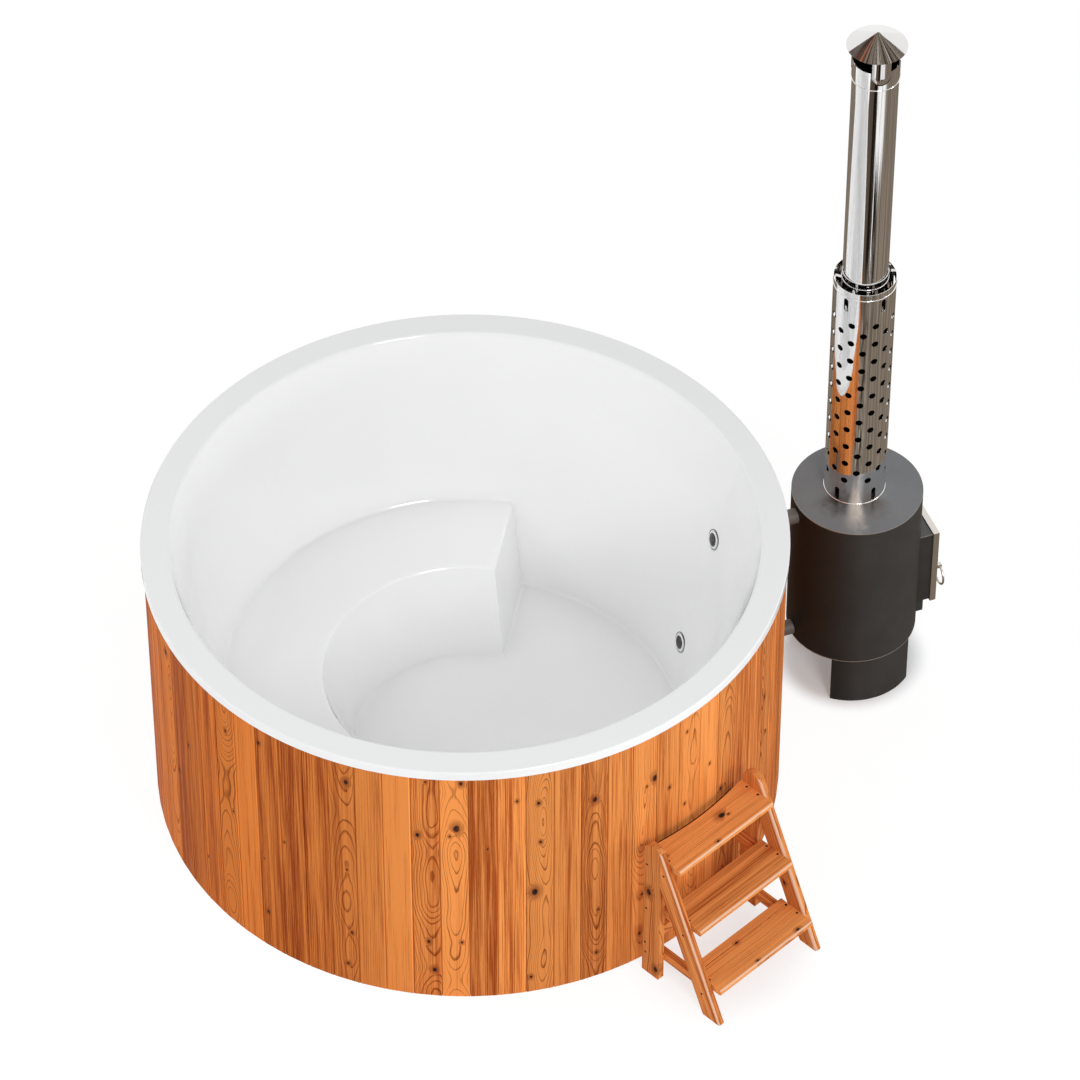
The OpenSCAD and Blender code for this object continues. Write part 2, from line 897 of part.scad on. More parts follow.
module drain_elbow() {
    socket = drain_pipe_radius + drain_wall;
    color(pipe_colour)
        at_drain() {
            translate([0, 0, drain_level + elbow_bend])
                tube(drain_pipe_radius - fit, drain_bore, floor_height - drain_level - elbow_bend - 20);
            translate([elbow_bend, 0, drain_level + elbow_bend])
                rotate([90, 0, 0])
                    rotate([0, 0, 180])
                        rotate_extrude(angle = 90)
                            translate([elbow_bend, 0])
                                difference() {
                                    circle(r = drain_pipe_radius - fit);
                                    circle(r = drain_bore);
                                }
            translate([elbow_bend, 0, drain_level])
                rotate([0, 90, 0])
                    difference() {
                        cylinder(r = socket, h = 30);
                        translate([0, 0, -over])
                            cylinder(r = drain_bore, h = 30 + 2 * over);
                        translate([0, 0, 4])
                            cylinder(r = drain_pipe_radius + fit / 2, h = 30);
                    }
        }
}

module drain_pipe() {
    start = elbow_bend + 4;
    color(pipe_colour)
        at_drain()
            translate([start, 0, drain_level])
                rotate([0, 90, 0])
                    tube(drain_pipe_radius, drain_bore, valve_start + 12 - start);
}

ball_radius = valve_radius - 6;
stem_radius = 5;

module drain_valve() {
    outlet = 26;
    color("#b08d4f")
        at_drain()
            translate([valve_start, 0, drain_level])
                difference() {
                    union() {
                        rotate([0, 90, 0])
                            cylinder(r = valve_radius, h = valve_length);
                        cylinder_at = valve_length / 2;
                        translate([cylinder_at, 0, 0])
                            cylinder(r = stem_radius + 5, h = valve_radius + 8);
                        translate([valve_length - 1, 0, 0])
                            rotate([0, 90, 0])
                                cylinder(r = drain_pipe_radius, h = outlet + 1);
                    }
                    translate([-over, 0, 0])
                        rotate([0, 90, 0])
                            cylinder(r = drain_bore - 3, h = valve_length + outlet + 2 * over);
                    translate([-over, 0, 0])
                        rotate([0, 90, 0])
                            cylinder(r = drain_pipe_radius + fit / 2, h = 12 + over + fit);
                    translate([valve_length / 2, 0, 0])
                        sphere(r = ball_radius + 0.3);
                    translate([valve_length / 2, 0, 0])
                        cylinder(r = stem_radius + pin_clearance, h = valve_radius + 8 + over);
                }
}

module valve_ball() {
    color(steel_colour)
        at_drain()
            translate([valve_start + valve_length / 2, 0, drain_level])
                difference() {
                    union() {
                        sphere(r = ball_radius);
                        cylinder(r = stem_radius, h = valve_radius + 14);
                    }
                    // The bore lies across the pipe, because the valve is shut at rest
                    rotate([90, 0, 0])
                        cylinder(r = drain_bore - 3, h = 3 * ball_radius, center = true);
                }
}

module valve_lever() {
    thickness = 4;
    hub = 12;
    color("#a33a2c")
        at_drain()
            translate([valve_start + valve_length / 2, 0, drain_level + valve_radius + 8.5])
                difference() {
                    union() {
                        cylinder(r = hub, h = thickness);
                        translate([-9, -lever_length + 9, 0])
                            cube([18, lever_length - 9, thickness]);
                        translate([0, -lever_length + 9, 0])
                            cylinder(r = 9, h = thickness);
                    }
                    translate([0, 0, -over])
                        cylinder(r = stem_radius + 0.05, h = thickness + 2 * over);
                }
}

// ---- heater ----

// Distance from the tub's axis to the heater's axis
heater_distance = stave_radius + heater_gap + heater_radius;
heater_floor = heater_base_level + heater_plate;
heater_ceiling = heater_top_level - heater_plate;
firebox_level = heater_floor + jacket_gap - 6;
firebox_top = heater_ceiling - 2 * jacket_gap;
firebox_bore = firebox_radius - firebox_plate;
neck_top = neck_level + neck_height;
duct_level = neck_level - duct_height;

module at_heater() {
    translate([heater_distance, 0, 0])
        children();
}

module at_flue() {
    translate([heater_distance, flue_offset, 0])
        children();
}

// A block that starts at the heater's axis and runs towards the door
module doorward(reach, width, low, high) {
    translate([0, -width / 2, low])
        cube([reach, width, high - low]);
}

module heater_shell() {
    color(heater_colour)
        difference() {
            at_heater()
                difference() {
                    translate([0, 0, heater_floor])
                        tube(heater_radius, heater_radius - heater_plate, heater_ceiling - heater_floor);
                    doorward(neck_reach, neck_width + 2 * fit, neck_level - fit, neck_top + fit);
                    doorward(neck_reach, neck_width + 2 * fit, duct_level - fit, neck_level);
                }
            for (level = [upper_pipe_level, lower_pipe_level])
                translate([pipe_end, 0, level])
                    rotate([0, 90, 0])
                        cylinder(r = pipe_bore, h = heater_distance - pipe_end - heater_radius / 2);
        }
}

module heater_top() {
    color(heater_colour)
        difference() {
            at_heater()
                translate([0, 0, heater_ceiling])
                    cylinder(r = heater_radius, h = heater_plate);
            at_flue()
                translate([0, 0, heater_ceiling - over])
                    cylinder(r = spigot_radius + fit, h = heater_plate + 2 * over);
        }
}

module heater_base() {
    color(heater_colour)
        at_heater()
            translate([0, 0, heater_base_level])
                cylinder(r = heater_radius, h = heater_plate);
}

module stand_legs() {
    color(heater_colour)
        at_heater()
            for (side = [-90, 90])
                rotate([0, 0, side - leg_half_angle])
                    rotate_extrude(angle = 2 * leg_half_angle)
                        translate([heater_radius - leg_plate, 0])
                            square([leg_plate, heater_base_level]);
}

// The firebox with its feet, grate lugs and drawer rails
module firebox() {
    lug = 14;
    foot_length = 120;
    foot_width = 10;
    foot_spread = 90;
    rail_width = 8;
    rail_spread = 60;
    rail_start = duct_reach - drawer_length - 17;
    color("#4b4744")
        difference() {
            at_heater()
                difference() {
                    union() {
                        translate([0, 0, firebox_level])
                            cylinder(r = firebox_radius, h = firebox_top - firebox_level);
                        for (side = [-1, 1])
                            translate([-foot_length / 2, side * foot_spread - foot_width / 2, heater_floor])
                                cube([foot_length, foot_width, firebox_level - heater_floor + 1]);
                    }
                    difference() {
                        translate([0, 0, firebox_level + firebox_plate])
                            cylinder(r = firebox_bore, h = firebox_top - firebox_level - 2 * firebox_plate);
                        for (a = [45 : 90 : 315])
                            rotate([0, 0, a])
                                translate([firebox_bore - lug, -lug / 2, grate_level - 6])
                                    cube([lug + 1, lug, 6]);
                        for (side = [-1, 1])
                            translate([rail_start, side * rail_spread - rail_width / 2, firebox_level])
                                cube([firebox_bore - rail_start, rail_width,
                                    drawer_floor - drawer_play - firebox_level]);
                    }
                    doorward(neck_reach, neck_width - 2 * neck_plate, neck_level + neck_plate,
                        neck_top - neck_plate);
                    doorward(neck_reach, neck_width - 2 * duct_plate, duct_level + duct_plate,
                        neck_level - duct_plate);
                }
            at_flue()
                translate([0, 0, firebox_top - firebox_plate - over])
                    cylinder(r = spigot_radius - 2 * flue_sheet, h = firebox_plate + 2 * over);
        }
}

module fire_grate() {
    grate_radius = firebox_bore - 3;
    slots = floor((grate_radius - 20) / grate_pitch);
    color("#2f2e2d")
        at_heater()
            translate([0, 0, grate_level])
                difference() {
                    cylinder(r = grate_radius, h = grate_thickness);
                    for (i = [-slots : slots])
                        let (half = sqrt(pow(grate_radius - 16, 2) - pow(i * grate_pitch, 2)))
                            translate([i * grate_pitch - grate_slot / 2, -half, -over])
                                cube([grate_slot, 2 * half, grate_thickness + 2 * over]);
                }
}

// A rectangular duct from the firebox's wall to its open end
module duct(reach, width, low, high, plate) {
    difference() {
        doorward(reach, width, low, high);
        translate([-over, 0, 0])
            doorward(reach + 2 * over, width - 2 * plate, low + plate, high - plate);
        cylinder(r = firebox_radius + fit / 2, h = heater_top_level);
    }
}

module door_neck() {
    color(heater_colour)
        at_heater()
            duct(neck_reach, neck_width, neck_level, neck_top, neck_plate);
}

module ash_duct() {
    color(heater_colour)
        at_heater()
            duct(duct_reach, neck_width, duct_level, neck_level - fit / 2, duct_plate);
}

drawer_width = neck_width - 2 * duct_plate - 2 * drawer_play;
drawer_floor = duct_level + duct_plate + drawer_play;
drawer_front = duct_reach - 1;

module ash_drawer() {
    grip_width = 60;
    grip_reach = 16;
    color(heater_colour)
        at_heater()
            translate([drawer_front - drawer_length, 0, drawer_floor])
                difference() {
                    union() {
                        doorward(drawer_length, drawer_width, 0, drawer_height);
                        translate([drawer_length - 1, 0, 0])
                            doorward(grip_reach + 1, grip_width, drawer_height / 2 - 1, drawer_height / 2 + 1.5);
                    }
                    translate([drawer_sheet, 0, 0])
                        doorward(drawer_length - 2 * drawer_sheet, drawer_width - 2 * drawer_sheet,
                            drawer_sheet, drawer_height + over);
                }
}

// ---- fire door ----

door_back = neck_reach + door_gap;
door_width = neck_width + 2 * door_overhang;
door_low = neck_level - 2 * door_overhang;
door_high = neck_top + door_overhang;
door_middle = (door_low + door_high) / 2;
lining_back = door_back + 3;
lining_width = door_width - 2 * door_sheet - 2 * fit;
hinge_x = door_back + door_thickness / 2;
hinge_y = door_width / 2 + knuckle_radius + 1;

module door_panel() {
    color(steel_colour)
        at_heater()
            translate([door_back, 0, 0])
                difference() {
                    doorward(door_thickness, door_width, door_low, door_high);
                    translate([-over, 0, 0])
                        doorward(door_thickness - door_sheet + over, door_width - 2 * door_sheet,
                            door_low + door_sheet, door_high - door_sheet);
                }
}

catch_radius = 4;
catch_reach = 22;
catch_y = -neck_width / 2 + seal_width + catch_radius + 1;

module door_lining() {
    stud_reach = lining_back - neck_reach + catch_reach;
    color("#8c8a86")
        at_heater() {
            translate([lining_back, 0, 0])
                doorward(door_back + door_thickness - door_sheet - lining_back, lining_width,
                    door_low + door_sheet + fit, door_high - door_sheet - fit);
            translate([lining_back - stud_reach, catch_y, door_middle])
                rotate([0, 90, 0])
                    cylinder(r = catch_radius, h = stud_reach + 1);
        }
}

module door_seal() {
    color("#d8d2c4")
        at_heater()
            translate([neck_reach + fit, 0, 0])
                difference() {
                    doorward(lining_back - neck_reach - fit, neck_width, neck_level, neck_top);
                    translate([-over, 0, 0])
                        doorward(lining_back - neck_reach + 2 * over, neck_width - 2 * seal_width,
                            neck_level + seal_width, neck_top - seal_width);
                }
}

module at_hinges() {
    for (side = [-1, 1])
        translate([heater_distance + hinge_x, hinge_y, door_middle + side * hinge_spread])
            children();
}

module hinge_brackets() {
    arm = hinge_x - neck_reach + 30;
    color(heater_colour)
        at_hinges()
            difference() {
                union() {
                    translate([0, 0, -knuckle_height])
                        cylinder(r = knuckle_radius, h = knuckle_height);
                    translate([-arm, -hinge_y + neck_width / 2 + fit / 2, -knuckle_height])
                        cube([arm - hinge_x + neck_reach - 1, 8, knuckle_height]);
                    translate([-arm, 1 - knuckle_radius, -knuckle_height])
                        cube([arm, 4, knuckle_height]);
                }
                translate([0, 0, -knuckle_height - over])
                    cylinder(r = pin_radius, h = knuckle_height + 2 * over);
            }
}

module hinge_pins() {
    head = 3;
    color(steel_colour)
        at_hinges()
            union() {
                translate([0, 0, -knuckle_height - head])
                    cylinder(r = pin_radius + 2, h = head);
                translate([0, 0, -knuckle_height - 1])
                    cylinder(r = pin_radius - 0.02, h = 2 * knuckle_height + 1);
            }
}

module door_knuckles() {
    color(steel_colour)
        at_hinges()
            translate([0, 0, fit])
                difference() {
                    union() {
                        cylinder(r = knuckle_radius, h = knuckle_height);
                        translate([-knuckle_radius / 2, -hinge_y + door_width / 2, 0])
                            cube([knuckle_radius, knuckle_radius, knuckle_height]);
                    }
                    translate([0, 0, -over])
                        cylinder(r = pin_radius + pin_clearance, h = knuckle_height + 2 * over);
                }
}

// A spring clip inside the neck that grips the stud on the door
module door_catch() {
    leaf = 1.5;
    grip = catch_radius + 0.3;
    wall = -neck_width / 2 + neck_plate;
    depth = catch_y + catch_radius + 1 - wall;
    color(steel_colour)
        at_heater()
            translate([neck_reach - catch_reach - 3, wall, door_middle])
                union() {
                    for (side = [0, 1])
                        mirror([0, 0, side])
                            translate([0, 0, grip])
                                cube([catch_reach, depth, leaf]);
                    translate([0, 0, -grip - leaf])
                        cube([catch_reach, leaf, 2 * (grip + leaf)]);
                }
}

// ---- door handle ----

handle_x = door_back + door_thickness;
ring_x = handle_x + ring_standoff;
eye_bore = ring_bar + 1;
ring_middle = ring_radius - ring_bar;
eye_level = door_middle - 22;
handle_low = eye_level - 68;

module at_handle() {
    translate([heater_distance + handle_x, -handle_offset, 0])
        children();
}

module handle_plate() {
    eye_radius = eye_bore + 2.5;
    color(steel_colour)
        at_handle()
            difference() {
                union() {
                    translate([0, 0, handle_low])
                        rotate([90, 0, 90])
                            linear_extrude(handle_plate_thickness)
                                polygon(rounded([
                                    [-handle_plate_width / 2, 0, handle_plate_width / 3],
                                    [handle_plate_width / 2, 0, handle_plate_width / 3],
                                    [handle_plate_width / 2, handle_plate_height, handle_plate_width / 3],
                                    [-handle_plate_width / 2, handle_plate_height, handle_plate_width / 3]
                                ]));
                    translate([ring_standoff, eye_length / 2, eye_level])
                        rotate([90, 0, 0])
                            cylinder(r = eye_radius, h = eye_length);
                    translate([handle_plate_thickness - 1, -eye_length / 2, eye_level - eye_radius])
                        cube([ring_standoff - handle_plate_thickness + 1, eye_length, 2 * eye_radius]);
                    translate([handle_plate_thickness - 1, 0, handle_low + handle_plate_height - 11])
                        rotate([0, 90, 0])
                            cylinder(r = 5.5, h = 6);
                }
                translate([ring_standoff, eye_length, eye_level])
                    rotate([90, 0, 0])
                        cylinder(r = eye_bore, h = 2 * eye_length);
            }
}

module handle_ring() {
    color(steel_colour)
        translate([heater_distance + ring_x, -handle_offset, eye_level - ring_middle])
            rotate([0, 90, 0])
                rotate_extrude()
                    translate([ring_middle, 0])
                        circle(r = ring_bar, $fn = 32);
}

// ---- chimney ----

spigot_radius = flue_radius - flue_sheet - fit;
socket_radius = flue_radius + flue_sheet + fit;
collar_radius = flue_radius + flue_sheet + fit;
guard_level = heater_top_level;
cap_level = flue_top_level + cap_lift;
collar_level = flue_top_level - collar_height;

// A rolled bead that stands out of a sheet at the given radius
module bead(radius) {
    rotate_extrude()
        translate([radius, 0])
            circle(r = bead_radius, $fn = 24);
}

module flue_spigot() {
    color("#6f6c69")
        at_flue()
            translate([0, 0, firebox_top])
                tube(spigot_radius, spigot_radius - 2 * flue_sheet, heater_top_level - firebox_top + 50);
}

module lower_flue() {
    socket_start = flue_joint_level - socket_length;
    color(steel_colour)
        at_flue()
            union() {
                rotate_extrude()
                    polygon([
                        [flue_radius - flue_sheet, heater_top_level],
                        [flue_radius, heater_top_level],
                        [flue_radius, socket_start - 4],
                        [socket_radius, socket_start],
                        [socket_radius, flue_joint_level],
                        [socket_radius - flue_sheet, flue_joint_level],
                        [socket_radius - flue_sheet, socket_start],
                        [flue_radius - flue_sheet, socket_start - 4]
                    ]);
                translate([0, 0, flue_joint_level - 22])
                    bead(socket_radius);
            }
}

module upper_flue() {
    start = flue_joint_level - socket_length + fit;
    color(steel_colour)
        at_flue()
            translate([0, 0, start])
                tube(flue_radius, flue_radius - flue_sheet, flue_top_level - start);
}

// Upright slots with round ends, one row at each end of the guard
module guard_slots(level) {
    for (i = [0 : slot_count - 1])
        rotate([0, 0, slot_turn + i * 360 / slot_count])
            translate([guard_radius - 10, 0, level]) {
                translate([0, -slot_width / 2, slot_width / 2])
                    cube([20, slot_width, slot_height - slot_width]);
                for (z = [slot_width / 2, slot_height - slot_width / 2])
                    translate([0, 0, z])
                        rotate([0, 90, 0])
                            cylinder(r = slot_width / 2, h = 20, $fn = 32);
            }
}

// Round holes in columns; one drill makes two opposite holes
module guard_holes() {
    top = guard_top_level - slot_height - 80;
    for (i = [0 : hole_columns / 2 - 1]) {
        start = heater_top_level + first_hole + (i % 2) * hole_pitch / 2;
        count = floor((top - start) / hole_pitch);
        rotate([0, 0, i * 360 / hole_columns])
            for (k = [0 : count])
                translate([0, 0, start + k * hole_pitch])
                    rotate([0, 90, 0])
                        cylinder(r = hole_radius, h = 2 * guard_radius + 2 * over, center = true, $fn = 32);
    }
}

module heat_guard() {
    hem = 24;
    color(steel_colour)
        at_flue()
            union() {
                difference() {
                    translate([0, 0, guard_level])
                        tube(guard_radius, guard_radius - guard_sheet, guard_top_level - guard_level);
                    guard_holes();
                    guard_slots(guard_level + 6);
                    guard_slots(guard_top_level - hem - slot_height - 6);
                }
                translate([0, 0, guard_level + bead_radius])
                    bead(guard_radius);
                translate([0, 0, guard_top_level - hem])
                    bead(guard_radius);
            }
}

// Bent clips that hold the guard off the flue, three near each end
module guard_spacers() {
    clip_width = 10;
    clip_height = 30;
    reach = guard_radius - guard_sheet - fit;
    color(steel_colour)
        at_flue()
            for (set = [[guard_level + 70, flue_radius], [guard_top_level - clip_height - 8, socket_radius]])
                for (a = [15 : 120 : 255])
                    rotate([0, 0, a])
                        translate([0, 0, set[0]])
                            difference() {
                                intersection() {
                                    translate([set[1] - 5, -clip_width / 2, 0])
                                        cube([reach - set[1] + 10, clip_width, clip_height]);
                                    cylinder(r = reach, h = clip_height);
                                }
                                translate([0, 0, -over])
                                    cylinder(r = set[1] + fit, h = clip_height + 2 * over);
                                translate([set[1] + 2, -clip_width, 2])
                                    cube([reach - set[1] - 4, 2 * clip_width, clip_height]);
                            }
}

module cap_collar() {
    color(steel_colour)
        at_flue()
            union() {
                translate([0, 0, collar_level])
                    tube(collar_radius, collar_radius - flue_sheet, collar_height);
                translate([0, 0, collar_level + bead_radius])
                    bead(collar_radius);
            }
}

// Height of the rain cap's sheet, measured upright
cap_drop = cap_sheet / cos(atan(cap_height / cap_radius));
strap_count = 3;
// Direction of the first strap about the flue's axis
strap_turn = 19.5;

// Each strap is cut from a tube's wall, with its tab inside the rain cap
module cap_straps() {
    foot = 46;
    tab = 22;
    inner = collar_radius + fit / 2;
    low = flue_top_level - foot + strap_width / 2;
    color(steel_colour)
        at_flue()
            for (i = [0 : strap_count - 1])
                rotate([0, 0, strap_turn + i * 360 / strap_count]) {
                    intersection() {
                        translate([0, 0, low - strap_width])
                            tube(inner + cap_sheet, inner, cap_level + cap_height - low + strap_width);
                        union() {
                            translate([0, -strap_width / 2, low])
                                cube([2 * inner, strap_width, cap_level + cap_height - low]);
                            translate([0, 0, low])
                                rotate([0, 90, 0])
                                    cylinder(r = strap_width / 2, h = 2 * inner);
                        }
                        under_cap(fit / 2);
                    }
                    intersection() {
                        translate([inner - tab, -strap_width / 2, cap_level - over])
                            cube([tab + cap_sheet, strap_width, cap_height]);
                        difference() {
                            under_cap(fit / 2);
                            under_cap(fit / 2 + cap_sheet);
                        }
                    }
                }
}

// The space under the rain cap, lowered by the given distance
module under_cap(drop) {
    translate([0, 0, cap_level - cap_drop - drop])
        cylinder(r1 = cap_radius, r2 = 0, h = cap_height);
    translate([0, 0, collar_level])
        cylinder(r = cap_radius, h = cap_level - cap_drop - drop - collar_level);
}

module cap_cone() {
    color(steel_colour)
        at_flue()
            translate([0, 0, cap_level])
                difference() {
                    cylinder(r1 = cap_radius, r2 = 0, h = cap_height);
                    translate([0, 0, -cap_drop])
                        cylinder(r1 = cap_radius, r2 = 0, h = cap_height);
                }
}

// ---- steps ----

side_inner = steps_width / 2 - side_board;
// Distance from the tub's axis to the posts' backs
post_distance = stave_radius + post_gap;
stringer_foot = post_distance + stringer_run;

// Places children beside the tub, with X outwards and Y along the treads
module at_steps() {
    rotate([0, 0, steps_azimuth])
        children();
}

// Distance from the tub's axis to the stringer's front edge at height z
function stringer_front(z) = stringer_foot - stringer_slope * z;

// The rounding that the top of a side frame leaves room for
head_rounding = min(head_radius, (stringer_run - stringer_slope * steps_height) / 1.66);

// Outline of one side frame, post and stringer together
module side_outline() {
    post_front = post_distance + post_width;
    crotch = (stringer_foot - stringer_width - post_front) / stringer_slope;
    polygon(rounded([
        [post_distance, 0],
        [post_front, 0],
        [post_front, crotch],
        [stringer_foot - stringer_width, 0],
        [stringer_foot, 0],
        [stringer_front(steps_height), steps_height, head_rounding],
        [post_distance, steps_height, head_rounding]
    ]));
}

// One side board; side is -1 for the left one and 1 for the right one
module side_board_at(side) {
    at_steps()
        translate([0, side * (steps_width - side_board) / 2 + side_board / 2, 0])
            rotate([90, 0, 0])
                linear_extrude(side_board)
                    children();
}

module post(side) {
    color(wood_colour)
        side_board_at(side)
            intersection() {
                side_outline();
                square([post_distance + post_width - fit / 2, steps_height + over]);
            }
}

// A long board along the stringer's slope with rounded front edges
module sloped_board(side) {
    at_steps()
        translate([stringer_foot, side * (steps_width - side_board) / 2, 0])
            rotate([0, -atan(stringer_slope), 0])
                translate([0, 0, -stringer_run])
                    linear_extrude(2 * steps_height)
                        polygon(rounded([
                            [-stringer_run, -side_board / 2],
                            [0, -side_board / 2, board_edge],
                            [0, side_board / 2, board_edge],
                            [-stringer_run, side_board / 2]
                        ]));
}

module stringer(side) {
    color(wood_colour)
        intersection() {
            side_board_at(side)
                intersection() {
                    side_outline();
                    translate([post_distance + post_width + fit / 2, 0])
                        square([stringer_run, steps_height + over]);
                }
            sloped_board(side);
        }
}

module left_post() post(-1);

module right_post() post(1);

module left_stringer() stringer(-1);

module right_stringer() stringer(1);

function tread_top(index) = first_tread + index * tread_rise;

// One tread between the side frames, its nose past the stringers by tread_nose
module tread(index) {
    top = tread_top(index);
    nose = stringer_front(top) + tread_nose;
    width = 2 * side_inner - 2 * fit;
    color(wood_colour)
        at_steps()
            translate([0, width / 2, 0])
                rotate([90, 0, 0])
                    linear_extrude(width)
                        polygon(rounded([
                            [nose - tread_depth, top - tread_thickness],
                            [nose, top - tread_thickness, tread_edge],
                            [nose, top, tread_edge],
                            [nose - tread_depth, top]
                        ]));
}

// The lowest tread has a groove along its back board
module bottom_tread() {
    back = stringer_front(first_tread) + tread_nose - tread_depth;
    difference() {
        tread(0);
        at_steps()
            translate([back + groove_inset, -steps_width / 2, first_tread - groove_depth])
                cube([groove_width, steps_width, groove_depth + over]);
    }
}

module middle_tread() tread(1);

module top_tread() {
    difference() {
        tread(2);
        cylinder(r = stave_radius + tread_standoff, h = steps_height + over, $fn = 180);
    }
}

module cleats() {
    color(wood_colour)
        at_steps()
            for (index = [0 : 2])
                for (side = [0, 1])
                    mirror([0, side, 0])
                        translate([post_distance, side_inner - cleat_thickness - fit,
                            tread_top(index) - tread_thickness - cleat_height])
                            cube([stringer_front(tread_top(index)) - 16 - post_distance, cleat_thickness,
                                cleat_height - fit / 2]);
}

module rear_rail() {
    color(wood_colour)
        at_steps()
            translate([post_distance, -side_inner + fit, rail_level])
                cube([side_board, 2 * side_inner - 2 * fit, rail_height]);
}

liner();
staves();
lower_ring();
middle_band();
upper_ring();
studs();
joists();
deck_boards();
upper_port();
lower_port();
washers();
flange_nuts();
upper_hose();
lower_hose();
hose_clamps();
upper_pipe();
lower_pipe();
drain_flange();
drain_plug();
drain_elbow();
drain_pipe();
drain_valve();
valve_ball();
valve_lever();
heater_shell();
heater_top();
heater_base();
stand_legs();
firebox();
fire_grate();
door_neck();
ash_duct();
ash_drawer();
door_panel();
door_lining();
door_seal();
hinge_brackets();
hinge_pins();
door_knuckles();
handle_plate();
handle_ring();
door_catch();
flue_spigot();
lower_flue();
upper_flue();
heat_guard();
guard_spacers();
cap_collar();
cap_straps();
cap_cone();
left_post();
right_post();
left_stringer();
right_stringer();
top_tread();
middle_tread();
bottom_tread();
cleats();
rear_rail();
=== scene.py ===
import math
import random

import bmesh
import bpy
from mathutils import Matrix, Vector


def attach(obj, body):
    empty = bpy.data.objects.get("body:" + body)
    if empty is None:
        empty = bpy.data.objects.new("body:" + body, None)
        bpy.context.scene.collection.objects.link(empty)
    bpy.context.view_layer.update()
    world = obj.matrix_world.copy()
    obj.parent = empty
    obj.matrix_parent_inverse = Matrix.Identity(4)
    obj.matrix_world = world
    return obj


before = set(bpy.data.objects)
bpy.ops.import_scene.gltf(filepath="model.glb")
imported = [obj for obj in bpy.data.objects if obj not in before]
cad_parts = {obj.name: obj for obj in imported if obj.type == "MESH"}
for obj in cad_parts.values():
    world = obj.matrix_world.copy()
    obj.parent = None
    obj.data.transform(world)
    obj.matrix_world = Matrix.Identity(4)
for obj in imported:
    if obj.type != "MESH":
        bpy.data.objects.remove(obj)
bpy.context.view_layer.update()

rng = random.Random(11)

# Sizes that the materials and small pieces share with the CAD model, in metres
STAVES = 72
STAVE_WIDTH = 0.0866
STAVE_FACE = 0.992                # radius of the staves' outer faces
RIM_TOP = 1.018
WALL_SLOPE = 0.25                 # the liner's wall leans outwards by this for each metre up
WALL_TOP_RADIUS = 0.912
PORT_LEVELS = (("upper", 0.700), ("lower", 0.275))
HEATER_X = 1.321
FLUE_Y = 0.024
STRAP_FOOT = 2.499                # level of the centre of a cap strap's round foot
STRAP_SPACING = 0.152             # from strap to strap round the collar
STRAP_SHARE = 0.1625              # turn of the first strap, as a share of that spacing
STEPS_TURN = math.radians(-66.3)
STRINGER_LEAN = 0.459             # the stringers lean inwards by this for each metre up
STRINGER_FRONT = 1.340            # reach of their front edges at the ground
STRINGER_MIDDLE = 0.2165          # from the middle of the steps to the middle of a stringer
STRINGER_HALF = 0.011
STRINGER_OUTSIDE = 0.2275
# Level of each tread's top and reach of its nose
TREAD_EDGES = ((0.525, 1.1375), (0.326, 1.2289), (0.127, 1.3202))

# Heading of the photo's camera, turned from +Y
VIEW_TURN = math.radians(-20.92)

DEGREES = 180 / math.pi
BLACK = (0, 0, 0, 1)
WHITE = (1, 1, 1, 1)


def srgb(r, g, b):
    """A linear colour from 8-bit screen values."""
    def linear(v):
        v /= 255
        return v / 12.92 if v <= 0.04045 else ((v + 0.055) / 1.055) ** 2.4
    return (linear(r), linear(g), linear(b), 1.0)


def scaled(colour, gain, lift=0.0):
    """A constant colour made lighter or darker."""
    return tuple(c * gain + lift for c in colour[:3]) + (1,)


# ---- shader building ----

class Sock:
    """A value in a node tree. Arithmetic on it adds the nodes that work it out."""

    def __init__(self, tree, socket):
        self.tree, self.socket = tree, socket

    def math(self, operation, *values):
        node = self.tree.nodes.new("ShaderNodeMath")
        node.operation = operation
        for slot, value in zip(node.inputs, values):
            feed(self.tree, slot, value)
        return Sock(self.tree, node.outputs[0])

    def __add__(self, other): return self.math("ADD", self, other)
    def __radd__(self, other): return self.math("ADD", other, self)
    def __sub__(self, other): return self.math("SUBTRACT", self, other)
    def __rsub__(self, other): return self.math("SUBTRACT", other, self)
    def __mul__(self, other): return self.math("MULTIPLY", self, other)
    def __rmul__(self, other): return self.math("MULTIPLY", other, self)
    def __truediv__(self, other): return self.math("DIVIDE", self, other)
    def __rtruediv__(self, other): return self.math("DIVIDE", other, self)
    def __abs__(self): return self.math("ABSOLUTE", self)
    def __gt__(self, other): return self.math("GREATER_THAN", self, other)
    def __lt__(self, other): return self.math("LESS_THAN", self, other)
    def floor(self): return self.math("FLOOR", self)
    def fract(self): return self.math("FRACT", self)
    def sin(self): return self.math("SINE", self)
    def sqrt(self): return self.math("SQRT", self)
    def angle(self, x): return self.math("ARCTAN2", self, x)

    def ramp(self, low, high, start=0.0, end=1.0):
        """Goes smoothly from start to end while this value goes from low to high."""
        node = self.tree.nodes.new("ShaderNodeMapRange")
        node.interpolation_type = "SMOOTHSTEP"
        for slot, value in zip(node.inputs, (self, low, high, start, end)):
            feed(self.tree, slot, value)
        return Sock(self.tree, node.outputs[0])


def feed(tree, slot, value):
    """Links a socket's value to a slot, or writes a constant into it."""
    if isinstance(value, Sock):
        tree.links.new(value.socket, slot)
    else:
        slot.default_value = value


def length(a, b):
    return (a * a + b * b).sqrt()


